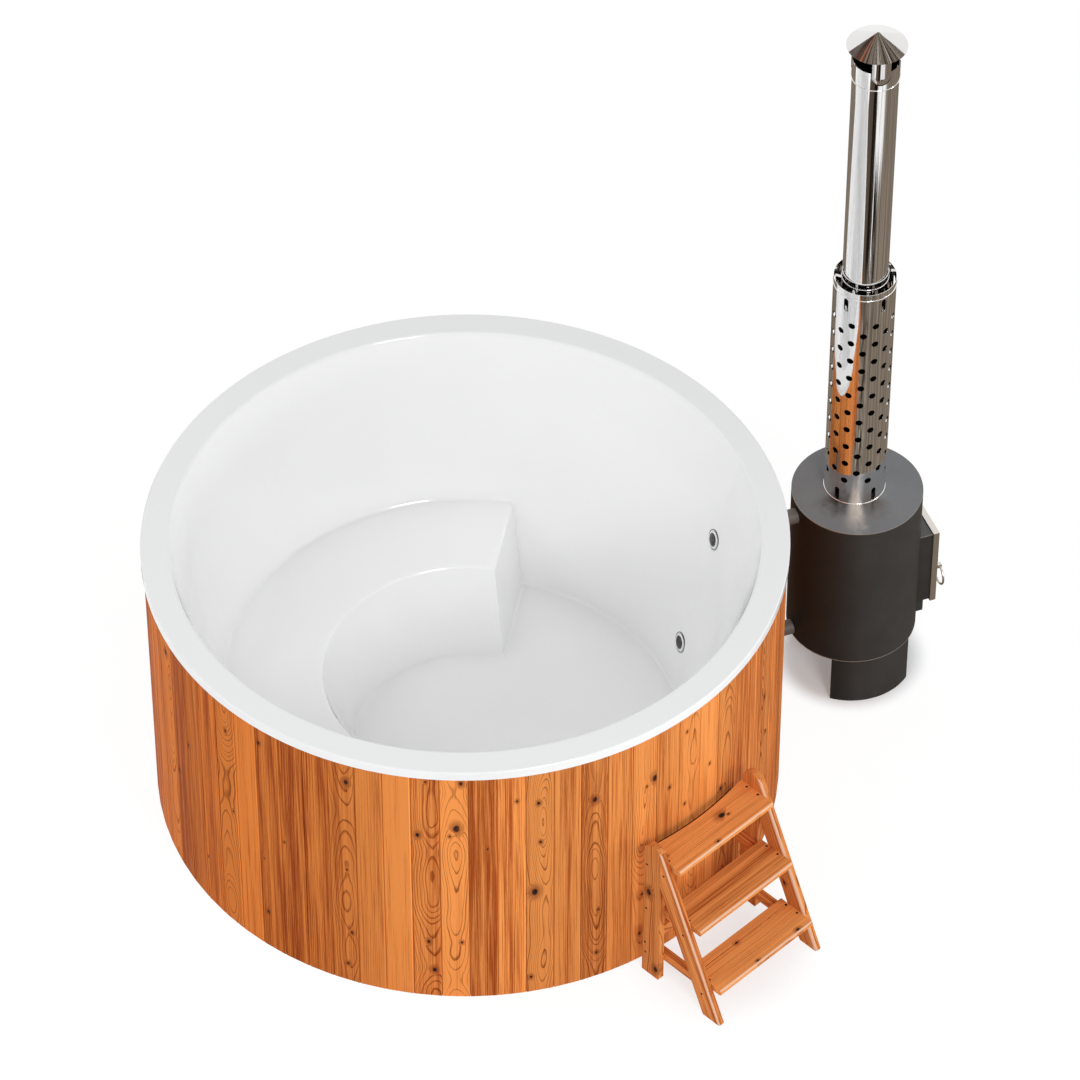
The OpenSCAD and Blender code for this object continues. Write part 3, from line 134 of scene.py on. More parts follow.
class Tree:
    """The node tree of a material or of the world."""

    def __init__(self, owner):
        owner.use_nodes = True
        self.tree = owner.node_tree
        self.tree.nodes.clear()

    def node(self, kind, settings=None, sockets=None, out=0):
        """Adds any node: its type, its settings, then its sockets. Returns what out asks for."""
        made = self.tree.nodes.new("ShaderNode" + kind)
        for key, value in (settings or {}).items():
            setattr(made, key, value)
        for key, value in (sockets or {}).items():
            feed(self.tree, made.inputs[key], value)
        if out is None:
            return made
        if isinstance(out, tuple):
            return [Sock(self.tree, made.outputs[o]) for o in out]
        return Sock(self.tree, made.outputs[out])

    def either(self, choice, first, second):
        """One of two shaders, by a value."""
        return self.node("MixShader", sockets={0: choice, 1: first, 2: second})

    def seen_directly(self):
        """1 for a ray from the camera, a mirror or glass, 0 for the light a surface scatters."""
        camera, mirror, glass = self.node("LightPath", out=("Is Camera Ray", "Is Glossy Ray",
                                                            "Is Transmission Ray"))
        return (camera + mirror + glass).ramp(0.0, 1.0)


class Shader(Tree):
    """The node tree of one material with one surface."""

    def __init__(self, name):
        self.material = bpy.data.materials.new(name)
        super().__init__(self.material)
        self.bsdf = self.node("BsdfPrincipled", out=None)
        self.surface = Sock(self.tree, self.bsdf.outputs[0])
        self.out = self.node("OutputMaterial", sockets={0: self.surface}, out=None)

    def set(self, name, value):
        feed(self.tree, self.bsdf.inputs[name], value)

    def parts(self, vector):
        return self.node("SeparateXYZ", sockets={0: vector}, out=(0, 1, 2))

    def place(self):
        """Object coordinates as three values, in metres."""
        return self.parts(self.node("TexCoord", out="Object"))

    def facing(self):
        """The surface's normal as three values."""
        return self.parts(self.node("NewGeometry", out="Normal"))

    def vector(self, x, y, z):
        return self.node("CombineXYZ", sockets={0: x, 1: y, 2: z})

    def noise(self, vector, scale, detail=3.0, rough=0.5):
        return self.node("TexNoise", {"noise_dimensions": "3D"},
                         {"Vector": vector, "Scale": scale, "Detail": detail, "Roughness": rough})

    def random(self, seed, out="Value"):
        return self.node("TexWhiteNoise", {"noise_dimensions": "1D"}, {"W": seed}, out)

    def mix(self, a, b, amount):
        return self.node("Mix", {"data_type": "RGBA"}, {0: amount, 6: a, 7: b}, 2)

    def tint(self, colour, gain):
        """The colour made lighter or darker by a value."""
        return self.node("VectorMath", {"operation": "SCALE"}, {0: colour, "Scale": gain})

    def bump(self, height, distance, strength=1.0):
        self.set("Normal", self.node("Bump", sockets={"Height": height, "Distance": distance,
                                                      "Strength": strength}, out="Normal"))

    def glow(self, colour):
        """A card that only gives off this colour."""
        self.set("Base Color", BLACK)
        self.set("Specular IOR Level", 0.0)
        self.set("Emission Color", colour)
        self.set("Emission Strength", 1.0)
        return self.material


def wood(s, across, depth, along, seed, light, dark, variation=0.22, flat_share=0.42):
    """Softwood cut from a log: rings, fibres and knots, in metres. seed is one number per board."""
    r1, r2, r3 = s.parts(s.random(seed, "Color"))
    tone = s.random(seed + 51.3)
    flat = s.random(seed + 23.9) < flat_share
    rift = 1.0 - flat
    shift = seed * 0.731 + 3.0
    # Flat boards lie over the pith, which wanders along them, so their rings run out in long
    # arches. The others are cut far from it, so that theirs are nearly straight lines.
    drift = s.noise(s.vector(shift, along * 1.8, 0.0), 1.0, 2.0) - 0.5
    rise = s.noise(s.vector(shift + 40.0, along * 1.7, 0.0), 1.0, 2.0, 0.35) - 0.5
    dx = across - (r1 - 0.5) * 0.05 - drift * 0.05 - rift * (r1 * 0.10 + 0.13)
    dy = depth + r2 * 0.022 + 0.034 + rise * 0.160
    # Knots, in some of the cells only
    cell = s.vector(across * 10.0 + shift * 7.0, along * 6.5 + shift * 13.0, 0.0)
    here, pick = s.node("TexVoronoi", {"voronoi_dimensions": "2D", "feature": "F1"},
                        {"Vector": cell, "Scale": 1.0, "Randomness": 1.0}, ("Distance", "Color"))
    kind, size, _ = s.parts(pick)
    present = kind > (rift * 0.42 + 0.44)
    radius = (size * size * 0.075 + 0.030) * (1.0 - rift * 0.40)
    fine = s.noise(s.vector(across * 90.0 + shift, depth * 60.0, along * 60.0), 1.0, 2.0) - 0.5
    edge = here + fine * 0.030
    core = present * edge.ramp(radius * 0.65, radius * 1.15, 1.0, 0.0)
    halo = present * edge.ramp(radius * 0.8, radius * 3.4, 1.0, 0.0)
    # Growth rings about the pith, bent aside by the knots; late marks the dark wood of each year
    warp = s.noise(s.vector(across * 16.0 + shift, depth * 14.0, along * 3.6), 1.0, 3.0) - 0.5
    reach = length(dx, dy) + warp * (flat * 0.005 + 0.004) + halo * halo * 0.022
    rings = reach / (r3 * 0.0018 + flat * 0.0004 + 0.0038)
    uneven = s.noise(s.vector(rings * 0.55, shift, 0.0), 1.0, 1.0)
    phase = (rings + uneven * 1.8).fract()
    late = phase.ramp(0.64, 0.90) * phase.ramp(0.93, 1.0, 1.0, 0.0) * (uneven * 1.3 + 0.20)
    # Fibres from coarse to fine
    band = s.noise(s.vector(across * 30.0 + shift, depth * 13.0, along * 0.7), 1.0, 2.0)
    streak = s.noise(s.vector(across * 90.0 + shift, depth * 90.0, along * 1.3), 1.0, 4.0, 0.66)
    hair = s.noise(s.vector(across * 330.0 + shift, depth * 330.0, along * 3.0), 1.0, 2.0, 0.6)
    fibre = s.noise(s.vector(across * 900.0, depth * 900.0, along * 30.0), 1.0, 2.0, 0.6)
    amount = (late * (flat * 0.26 + 0.20)
              + streak.ramp(0.32, 0.68) * (0.42 - flat * 0.1)
              + (fibre - 0.5) * 0.5
              + hair.ramp(0.34, 0.66) * (0.66 - flat * 0.26)
              + (band - 0.5) * (1.7 - flat * 0.7)
              + (s.random(seed + 88.2) - 0.5) * variation * 1.7 - 0.22)
    colour = s.mix(light, dark, amount.ramp(-0.15, 1.20))
    colour = s.mix(colour, srgb(98, 41, 16), late * late * (flat * 0.42 + 0.10))
    colour = s.mix(colour, srgb(124, 52, 20), halo * 0.60)
    colour = s.mix(colour, srgb(30, 26, 28), core * (0.92 + fine * 0.6))
    colour = s.tint(colour, 1.0 + (tone - 0.5) * variation * 0.7)
    s.set("Roughness", late * 0.10 + fibre * 0.16 + 0.50)
    s.set("Specular IOR Level", 0.05)
    s.bump(late * -0.4 + fibre * 0.5 + streak * 0.4 - core * 0.8, 0.0005, 0.5)
    return colour


def stave_wood():
    s = Shader("oiled_stave_wood")
    x, y, z = s.place()
    turns = y.angle(x) * (STAVES / (2 * math.pi)) + STAVES
    index = turns.floor()
    across = (turns.fract() - 0.5) * STAVE_WIDTH
    depth = STAVE_FACE - length(x, y)
    flip = (s.random(index + 7.7) > 0.5) * 2.0 - 1.0
    # Painted shade: the staves on the side turned away from the heater are made darker and redder
    shaded_side = (x * -0.94 + y * 0.34).ramp(-0.25, 0.95)
    light = s.mix(srgb(237, 150, 79), srgb(217, 122, 50), shaded_side)
    dark = s.mix(srgb(157, 69, 22), srgb(138, 52, 12), shaded_side)
    colour = wood(s, across * flip, depth, z * flip, index * 1.37 + 2.0, light, dark, 0.36)
    # Dirt gathers in the joint between two staves, and the edge on one side of it gets a painted
    # highlight, stronger on some boards than others
    half = STAVE_WIDTH / 2
    joint = abs(across).ramp(half - 0.0020, half - 0.0008)
    glint = across.ramp(half - 0.0066, half - 0.0036) * (1.0 - joint)
    colour = s.tint(colour, glint * (s.random(index + 3.1) * 0.4) + 1.0)
    s.set("Base Color", s.mix(colour, srgb(110, 46, 15), joint * 0.30))
    return s.material


def rounding(a, b):
    """1 along the middle of a 6 mm rounding; a and b are the depths below the faces beside it."""
    return ((0.012 - a - b) * (1 / math.sqrt(2))).ramp(0.0043, 0.0054)


def step_wood(name, role, seed):
    """Wood of one board of the steps. role says which way its grain runs."""
    s = Shader(name)
    x, y, z = s.place()
    c, k = math.cos(STEPS_TURN), math.sin(STEPS_TURN)
    out = x * c + y * k
    side = y * c - x * k
    if role == "post":
        across, depth, along = out, side, z
    elif role == "stringer":
        slant = 1 / math.hypot(1.0, STRINGER_LEAN)
        across = (out + z * STRINGER_LEAN) * slant
        along = (z - out * STRINGER_LEAN) * slant
        depth = side
    elif role == "tread":
        across, depth, along = out, z, side
    elif role == "cleat":
        across, depth, along = z, side, out
    else:
        across, depth, along = z, out, side
    if role == "cleat":
        # All six cleats are one mesh, and each is its own board
        board = (side > 0.0) * 5.0 + (z * 5.0).floor() * 3.0 + seed
    else:
        # As a value in the tree, so that it is rounded as the cleats' and the staves' are
        board = side.floor() * 0.0 + seed
    tone = 0.92 if role in ("stringer", "post") else 1.0
    light, dark = (scaled(srgb(*v), tone) for v in ((247, 163, 92), (168, 77, 27)))
    colour = wood(s, across, depth, along, board, light, dark, 0.2, 0.5)
    # Painted highlight: a light stripe along the middle of the rounded edges, on the treads' noses
    # and along one front edge of the stringers
    painted_highlight = srgb(236, 200, 174)
    if role == "tread":
        wear_and_highlight = 0.0
        for top, nose in TREAD_EDGES:
            edge = rounding(nose - out, top - z)
            wear_and_highlight = edge * (z > top - 0.012) * (z < top + 0.002) + wear_and_highlight
        colour = s.mix(colour, painted_highlight, wear_and_highlight * 0.75)
        if "top" in name:
            # Painted shadow: a black line along the top tread's hollow back edge, beside the staves
            colour = s.mix(colour, srgb(30, 20, 14), length(x, y).ramp(1.0170, 1.0190, 1.0, 0.0))
    elif role in ("stringer", "post"):
        # Painted highlight along one front edge of each stringer only
        front = (STRINGER_FRONT - out - z * STRINGER_LEAN) * math.cos(math.atan(STRINGER_LEAN))
        middle = STRINGER_MIDDLE if "right" in name else -STRINGER_MIDDLE
        colour = s.mix(colour, painted_highlight, rounding(front, side - middle + STRINGER_HALF) * 0.75)
    s.set("Base Color", colour)
    return s.material


def frame_wood():
    s = Shader("bare_frame_wood")
    x, y, z = s.place()
    turns = y.angle(x) * (8 / math.pi)
    s.set("Base Color", wood(s, length(x, y), z * 0.4, turns * 0.3, turns.floor() + 40.0,
                             srgb(224, 186, 138), srgb(186, 140, 92), 0.25))
    return s.material


def gelcoat():
    s = Shader("white_gelcoat")
    x, y, z = s.place()
    p = s.vector(x, y, z)
    wave = s.noise(p, 5.0, 2.0)
    peel = s.noise(p, 160.0, 2.0)
    cloud = s.noise(p, 1.6, 3.0)
    # Painted light: the inside is made a little lighter than the rim, so that the basin looks more
    # brightly lit
    inside = z.ramp(RIM_TOP - 0.013, RIM_TOP - 0.001, 1.0, 0.0)
    inside = inside * length(x, y).ramp(0.93, 0.96, 1.0, 0.0)
    rim = s.mix((0.893, 0.899, 0.904, 1), (0.901, 0.905, 0.907, 1), cloud)
    s.set("Base Color", s.mix(rim, (0.962, 0.963, 0.968, 1), inside))
    s.set("Roughness", wave * 0.04 + 0.08)
    s.set("Specular IOR Level", 0.36)
    s.set("Coat Weight", z.ramp(0.80, 0.96, 0.85, 0.06))
    s.set("Coat Roughness", 0.03)
    s.bump(wave + peel * 0.02, 0.0012, 0.5)
    return s.material


def paint(name, colour, wear_and_highlight, rough, edge=None, top_light=0.5, shine=0.5, painted_reflection=None):
    """Heat-proof paint with a faint orange peel. edge marks where a painted highlight goes along the
    rims.
    """
    s = Shader(name)
    x, y, z = s.place()
    p = s.vector(x, y, z)
    peel = s.noise(p, 420.0, 3.0)
    cloud = s.noise(p, 7.0, 4.0, 0.6)
    speck = s.noise(p, 1900.0, 1.0)
    shade = s.mix(colour, wear_and_highlight, cloud.ramp(0.35, 0.75) * 0.5 + (speck - 0.5) * 0.12)
    nx, ny, nz = s.facing()
    # Painted shade: the side that faces the tub is darkened
    shade = s.tint(shade, (nx * 0.93 + ny * 0.37).ramp(-1.02, -0.55, 0.42, 1.0))
    # Painted light: faces that look up are made lighter, as if lit from above
    up = nz.ramp(0.6, 0.95)
    shade = s.mix(shade, srgb(112, 112, 113), up * top_light)
    # Painted reflection and highlight on the lid, where one is given
    if painted_reflection:
        shade = painted_reflection(s, shade, x, y)
    # Painted highlight along the rims that edge marks, also made partly metallic
    if edge:
        bright = edge(s, x, y, z)
        shade = s.mix(shade, srgb(168, 160, 150), bright)
        s.set("Metallic", bright * 0.7)
    s.set("Base Color", shade)
    s.set("Roughness", cloud * 0.10 + rough)
    s.set("Specular IOR Level", shine)
    s.bump(peel + speck * 0.3, 0.0002, 0.5)
    return s.material


def steel(name, colour, rough, grain, drawn="round", axis=(HEATER_X, FLUE_Y), sooty=None,
          bowed=False):
    """Bare steel. grain is the depth of the grinding marks, round the axis or along a face."""
    s = Shader(name)
    x, y, z = s.place()
    dx, dy = x - axis[0], y - axis[1]
    angle = dy.angle(dx)
    if drawn == "round":
        lines = s.noise(s.vector(angle * 1.2, z * 900.0, length(dx, dy) * 900.0), 1.0, 3.0)
    else:
        lines = s.noise(s.vector(x * 60.0, y * 9.0, z * 1400.0), 1.0, 3.0)
    cloud = s.noise(s.vector(x, y, z), 11.0, 3.0)
    dent = s.noise(s.vector(angle * 1.5, z * 3.0, 0.0), 1.0, 2.0)
    shade = s.mix(colour, scaled(colour, 0.94), cloud * 0.6 + lines * 0.4)
    shine = lines * grain + cloud * grain * 0.5 + rough
    relief = (lines * 0.12 + dent) * 0.00007
    if sooty:
        # Soot blackens what looks at the axis, or every side, up to just below the guard's mouth
        nx, ny, nz = s.facing()
        inward = (nx * dx + ny * dy) / length(dx, dy) < -0.3
        soot = (1.0 - z.ramp(1.50, 1.57) * (z < 1.72)) * (inward if sooty == "inside" else 1.0)
        shade = s.mix(shade, srgb(26, 23, 21), soot)
        shine = shine + soot * 0.5
    if bowed:
        # The straps of the rain cap bow outwards between their edges and above their round foot
        side = ((angle * (1.5 / math.pi) - STRAP_SHARE + 0.5).fract() - 0.5) * STRAP_SPACING
        down = (STRAP_FOOT - z) * (z < STRAP_FOOT)
        out = side * side + down * down
        relief = relief - out * 6.5
        # Painted shadow: a dark outline round each strap's edges, strongest at its foot
        lip = out.sqrt().ramp(0.0235, 0.0270)
        shade = s.mix(shade, srgb(30, 26, 24), lip * (0.25 + down * 40.0).ramp(0.0, 1.0))
    s.set("Metallic", 1.0)
    s.set("Base Color", shade)
    s.set("Roughness", shine)
    s.bump(relief, 1.0)
    return s.material


def rubber():
    colour = srgb(28, 28, 30)
    s = Shader("black_rubber")
    x, y, z = s.place()
    p = s.vector(x, y, z)
    weave = (s.noise(p, 900.0, 2.0) + s.noise(p, 90.0, 2.0)) * 0.5
    s.set("Base Color", s.mix(colour, scaled(colour, 1.6, 0.01), weave.ramp(0.3, 0.8)))
    s.set("Roughness", weave * 0.2 + 0.55)
    s.bump(weave, 0.0004, 0.5)
    return s.material


def rope():
    s = Shader("glass_rope_seal")
    x, y, z = s.place()
    strand = 2 * math.pi / 0.006
    twist = ((y + z) * strand).sin() * ((y - z) * strand).sin()
    fuzz = s.noise(s.vector(x, y, z), 800.0, 3.0)
    shade = twist.ramp(-0.8, 0.8) * 0.6 + fuzz * 0.4
    s.set("Base Color", s.mix(srgb(58, 54, 50), srgb(22, 20, 19), shade))
    s.set("Roughness", fuzz * 0.1 + 0.85)
    s.bump(twist * 0.5 + fuzz * 0.5, 0.001, 0.8)
    return s.material


def cast(name, colour, metallic, rough):
    """Cast or moulded surface with a sandy skin."""
    s = Shader(name)
    x, y, z = s.place()
    p = s.vector(x, y, z)
    sand = s.noise(p, 700.0, 3.0)
    cloud = s.noise(p, 14.0, 3.0)
    s.set("Metallic", metallic)
    s.set("Base Color", s.mix(colour, scaled(colour, 0.6), cloud * 0.5 + sand * 0.4))
    s.set("Roughness", sand * 0.15 + rough)
    s.bump(sand, 0.0005, 0.6)
    return s.material


def plate_edge(s, x, y, z):
    """Where the rim of a round heater plate gets a painted highlight."""
    patchiness = s.noise(s.vector(x * 40.0, y * 40.0, z * 40.0), 1.0, 2.0)
    return length(x - HEATER_X, y).ramp(0.2076, 0.2086) * (patchiness * 0.5 + 0.55)


def neck_edge(s, x, y, z):
    """The upper edges of the door neck, with a painted highlight."""
    patchiness = s.noise(s.vector(x * 60.0, y * 60.0, z * 60.0), 1.0, 2.0)
    return abs(y).ramp(0.0868, 0.0880) * z.ramp(0.5465, 0.5478) * (patchiness * 0.5 + 0.6)


def sector(turn, start, full, fading, end):
    """1 between two headings, in degrees, with a soft border on either side."""
    return turn.ramp(start, full) * turn.ramp(fading, end, 1.0, 0.0)


def painted_lid_reflection(s, shade, x, y):
    """Painted reflection on the lid round the flue's foot: brown patches either side where the guard
    is mirrored, and a painted highlight down the middle where the flue throws light down.
    """
    dx, dy = x - HEATER_X, y - FLUE_Y
    far = length(dx, dy)
    patch = s.noise(s.vector(x * 30.0, y * 30.0, 0.0), 1.0, 3.0) * 0.10
    turn = dy.angle(dx) * DEGREES + patch * 60.0
    left = sector(turn, -176.0, -150.0, -126.0, -118.0)
    right = sector(turn, -98.0, -90.0, -72.0, -52.0)
    middle = sector(turn, -124.0, -112.0, -104.0, -94.0)
    fade = (far + patch).ramp(0.13, 0.24, 1.0, 0.0)
    shade = s.mix(shade, srgb(56, 47, 41), left * fade)
    shade = s.mix(shade, srgb(88, 75, 63), right * fade * 0.9)
    return s.mix(shade, srgb(206, 192, 180), middle * (far + patch).ramp(0.14, 0.30, 0.85, 0.0))


MATERIALS = {
    "liner": gelcoat(),
    "staves": stave_wood(),
    "frame": frame_wood(),
    "heater": paint("anthracite_paint", srgb(53, 51, 49), srgb(63, 61, 59), 0.46, shine=0.22),
    # Painted light: the lid is the heater's anthracite paint made much lighter, as a face lit from
    # above
    "heater_top": paint("anthracite_lid", srgb(112, 114, 117), srgb(124, 125, 127), 0.20,
                        plate_edge, 0.2, painted_reflection=painted_lid_reflection),
    "neck": paint("anthracite_neck", srgb(48, 44, 42), srgb(58, 54, 51), 0.42,
                  neck_edge, 0.7, 0.3),
    "heater_base": paint("anthracite_base", srgb(48, 44, 42), srgb(58, 54, 51), 0.42,
                         plate_edge, 0.5, 0.3),
    "firebox": paint("scaled_fire_steel", srgb(46, 40, 36), srgb(92, 70, 56), 0.6),
    "cap": steel("polished_cap_steel", srgb(234, 233, 232), 0.03, 0.04),
    "mirror": steel("polished_flue_steel", srgb(251, 250, 249), 0.02, 0.03, sooty="inside"),
    "hidden_flue": steel("scaled_flue_steel", srgb(238, 236, 234), 0.05, 0.05, sooty="all"),
    "strap": steel("polished_strap_steel", srgb(240, 238, 236), 0.03, 0.04, bowed=True),
    "door": steel("ground_door_steel", srgb(226, 220, 212), 0.20, 0.16, "flat"),
    "port": steel("polished_port_steel", srgb(254, 254, 254), 0.30, 0.10, axis=(0.84, 0.0)),
    "clamp": steel("clamp_steel", srgb(190, 190, 190), 0.28, 0.15, axis=(0.9, 0.0)),
    "rubber": rubber(),
    "rope": rope(),
    "pipe": paint("water_pipe_paint", srgb(101, 96, 91), srgb(122, 116, 109), 0.36),
    "grate": cast("cast_iron", srgb(52, 48, 46), 0.6, 0.6),
    "nut": cast("nut_plastic", srgb(44, 44, 46), 0.0, 0.45),
    "grey": cast("grey_pipe_plastic", srgb(134, 136, 138), 0.0, 0.38),
    "brass": cast("cast_brass", srgb(196, 164, 96), 1.0, 0.3),
    "red": cast("lever_coating", srgb(168, 40, 30), 0.0, 0.4),
}

NODE_LOOK = {
    "liner": ["liner"],
    "staves": ["staves"],
    "frame": ["lower_ring", "middle_band", "upper_ring", "studs", "joists", "deck_boards"],
    "heater": ["heater_shell", "stand_legs", "hinge_brackets", "ash_duct"],
    "neck": ["door_neck"],
    "heater_top": ["heater_top"],
    "heater_base": ["heater_base"],
    "firebox": ["firebox", "flue_spigot", "ash_drawer"],
    "mirror": ["upper_flue", "heat_guard", "cap_collar"],
    "strap": ["cap_straps"],
    "hidden_flue": ["lower_flue", "guard_spacers"],
    "cap": ["cap_cone"],
    "door": ["door_panel", "door_lining", "door_knuckles", "hinge_pins", "handle_plate",
             "handle_ring", "door_catch"],
    "port": ["upper_port", "lower_port", "drain_flange", "valve_ball"],
    "clamp": ["hose_clamps"],
    "rubber": ["washers", "upper_hose", "lower_hose", "drain_plug"],
    "rope": ["door_seal"],
    "pipe": ["upper_pipe", "lower_pipe"],
    "grate": ["fire_grate"],
    "nut": ["flange_nuts"],
    "grey": ["drain_elbow", "drain_pipe"],
    "brass": ["drain_valve"],
    "red": ["valve_lever"],
}

STEP_BOARDS = {
    "left_post": "post", "right_post": "post",
    "left_stringer": "stringer", "right_stringer": "stringer",
    "top_tread": "tread", "middle_tread": "tread", "bottom_tread": "tread",
    "cleats": "cleat", "rear_rail": "rail",
}


def dress(obj, material):
    obj.data.materials.clear()
    obj.data.materials.append(material)


for look, names in NODE_LOOK.items():
    for name in names:
        dress(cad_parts[name], MATERIALS[look])
for number, (name, role) in enumerate(STEP_BOARDS.items()):
    dress(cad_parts[name], step_wood("step_wood_" + name, role, 3.0 + 2.0 * number))


# ---- small pieces ----

def new_piece(name, mesh, body, material):
    data = bpy.data.meshes.new(name)
    mesh.to_mesh(data)
    mesh.free()
    for face in data.polygons:
        face.use_smooth = True
    obj = bpy.data.objects.new(name, data)
    bpy.context.scene.collection.objects.link(obj)
    data.materials.append(material)
    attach(obj, body)


def circle(radius, level, segments):
    """Points round the Z axis."""
    for i in range(segments):
        a = 2 * math.pi * i / segments
        yield Vector((radius * math.cos(a), radius * math.sin(a), level))


def lathe(mesh, profile, matrix, segments):
    """Adds a turned shape from (radius, level) pairs, from the axis on top to the axis below."""
    rings = []
    for radius, level in profile:
        points = circle(radius, level, segments) if radius else [Vector((0, 0, level))]
        rings.append([mesh.verts.new(matrix @ point) for point in points])
    for a, b in zip(rings, rings[1:]):
        for i in range(segments):
            j = (i + 1) % segments
            corners = [a[i % len(a)], b[i % len(b)], b[j % len(b)], a[j % len(a)]]
            mesh.faces.new(list(dict.fromkeys(corners)))


def turned(way, at):
    """A matrix that puts the origin at a point and turns Z to a direction."""
    return Matrix.Translation(at) @ Vector(way).to_track_quat("Z", "Y").to_matrix().to_4x4()


def screws(name, spots, radius, body, material):
    """Countersunk screw heads with a socket in each, lying in the face."""
    profile = [(0, 0.0000), (radius * 0.32, 0.0000), (radius * 0.42, 0.0006),
               (radius * 0.9, 0.0005), (radius, 0.0001), (radius * 0.96, -0.0010), (0, -0.0012)]
    mesh = bmesh.new()
    for at, way in spots:
        spin = Matrix.Rotation(rng.uniform(0, math.pi), 4, "Z")
        lathe(mesh, profile, turned(way, at) @ spin, 16)
    new_piece(name, mesh, body, material)


def steps_point(out, side, z):
    """A place on the steps: outwards from the tub's axis, sideways, up."""
    c, k = math.cos(STEPS_TURN), math.sin(STEPS_TURN)
    return Vector((out * c - side * k, out * k + side * c, z))


STEP_SIDE = steps_point(0, 1, 0)
SCREW = steel("blackened_screw_steel", srgb(58, 54, 50), 0.4, 0.1, "flat")

# Into the cleats' and treads' ends through the posts and stringers
SIDE_SCREWS = ((1.020, 0.489), (1.020, 0.290), (1.020, 0.088), (1.018, 0.132), (1.090, 0.489),
               (1.178, 0.290), (1.262, 0.088))
side_screws = [(steps_point(out, side * STRINGER_OUTSIDE, z), STEP_SIDE * side)
               for side in (-1, 1) for out, z in SIDE_SCREWS]
screws("step_side_screws", side_screws, 0.0042, "tub", SCREW)

# Down through the treads into the cleats
tread_screws = [(steps_point(nose - back, side * 0.194, top + 0.00005), Vector((0, 0, 1)))
                for top, nose in TREAD_EDGES for side in (-1, 1) for back in (0.058, 0.105)]
screws("tread_screws", tread_screws, 0.0040, "tub", SCREW)


def ring(name, matrix, radius, thick, body, material, segments=64, around=8):
    """A thin round bead, such as a seal's lip."""
    mesh = bmesh.new()
    rows = []
    for i in range(segments):
        a = 2 * math.pi * i / segments
        rows.append([mesh.verts.new(matrix @ Vector((
            (radius + thick * math.cos(b)) * math.cos(a),
            (radius + thick * math.cos(b)) * math.sin(a),
            thick * math.sin(b)))) for b in (2 * math.pi * k / around for k in range(around))])
    for i, row in enumerate(rows):
        after = rows[(i + 1) % segments]
        for k in range(around):
            j = (k + 1) % around
            mesh.faces.new((row[k], after[k], after[j], row[j]))
    new_piece(name, mesh, body, material)


wall_tilt = math.atan(WALL_SLOPE)
for name, level in PORT_LEVELS:
    wall = WALL_TOP_RADIUS - WALL_SLOPE * (RIM_TOP - level)
    way = Vector((math.cos(wall_tilt), 0, -math.sin(wall_tilt)))
    ring(name + "_port_seal", turned(way, Vector((wall, 0, level)) - way * 0.0012), 0.0328, 0.0012,
         "tub", MATERIALS["rubber"])


# ---- stage, light and camera ----

def stage_card(name, corners, material, only_reflected=False):
    data = bpy.data.meshes.new(name)
    data.from_pydata(corners, [], [list(range(len(corners)))])
    obj = bpy.data.objects.new(name, data)
    bpy.context.scene.collection.objects.link(obj)
    data.materials.append(material)
    if only_reflected:
        obj.visible_camera = False
        obj.visible_diffuse = False
        obj.visible_shadow = False


# The floor is lifted less at the heater's foot and under the steps, to keep the object's shadow.
# Each is a place, the distances over which the lift comes back, and the share left out there.
SHADOWS = ((HEATER_X, 0.0, 0.19, 0.27, 0.80), (0.455, -1.036, 0.16, 0.34, 0.25))
FLOOR = 40.0
FLOOR_WHITE = (0.93, 0.955, 0.97, 1)


def floor_look():
    """A white floor that keeps the object's shadow. Its lift towards white lights nothing."""
    s = Shader("studio_floor")
    s.set("Base Color", FLOOR_WHITE)
    s.set("Roughness", 0.9)
    x, y, z = s.place()
    white = 1.0
    for cx, cy, near, far, share in SHADOWS:
        white = white - length(x - cx, y - cy).ramp(near, far, share, 0.0)
    white = white * 0.86
    lifted = s.node("BsdfPrincipled", sockets={
        "Base Color": s.mix(FLOOR_WHITE, BLACK, white), "Roughness": 0.9,
        "Emission Color": s.tint((1.05, 1.05, 1.05), white), "Emission Strength": 1.0})
    feed(s.tree, s.out.inputs[0], s.either(s.seen_directly(), s.surface, lifted))
    return s.material


stage_card("floor", [(-FLOOR, -FLOOR, 0), (FLOOR, -FLOOR, 0), (FLOOR, FLOOR, 0), (-FLOOR, FLOOR, 0)],
           floor_look())


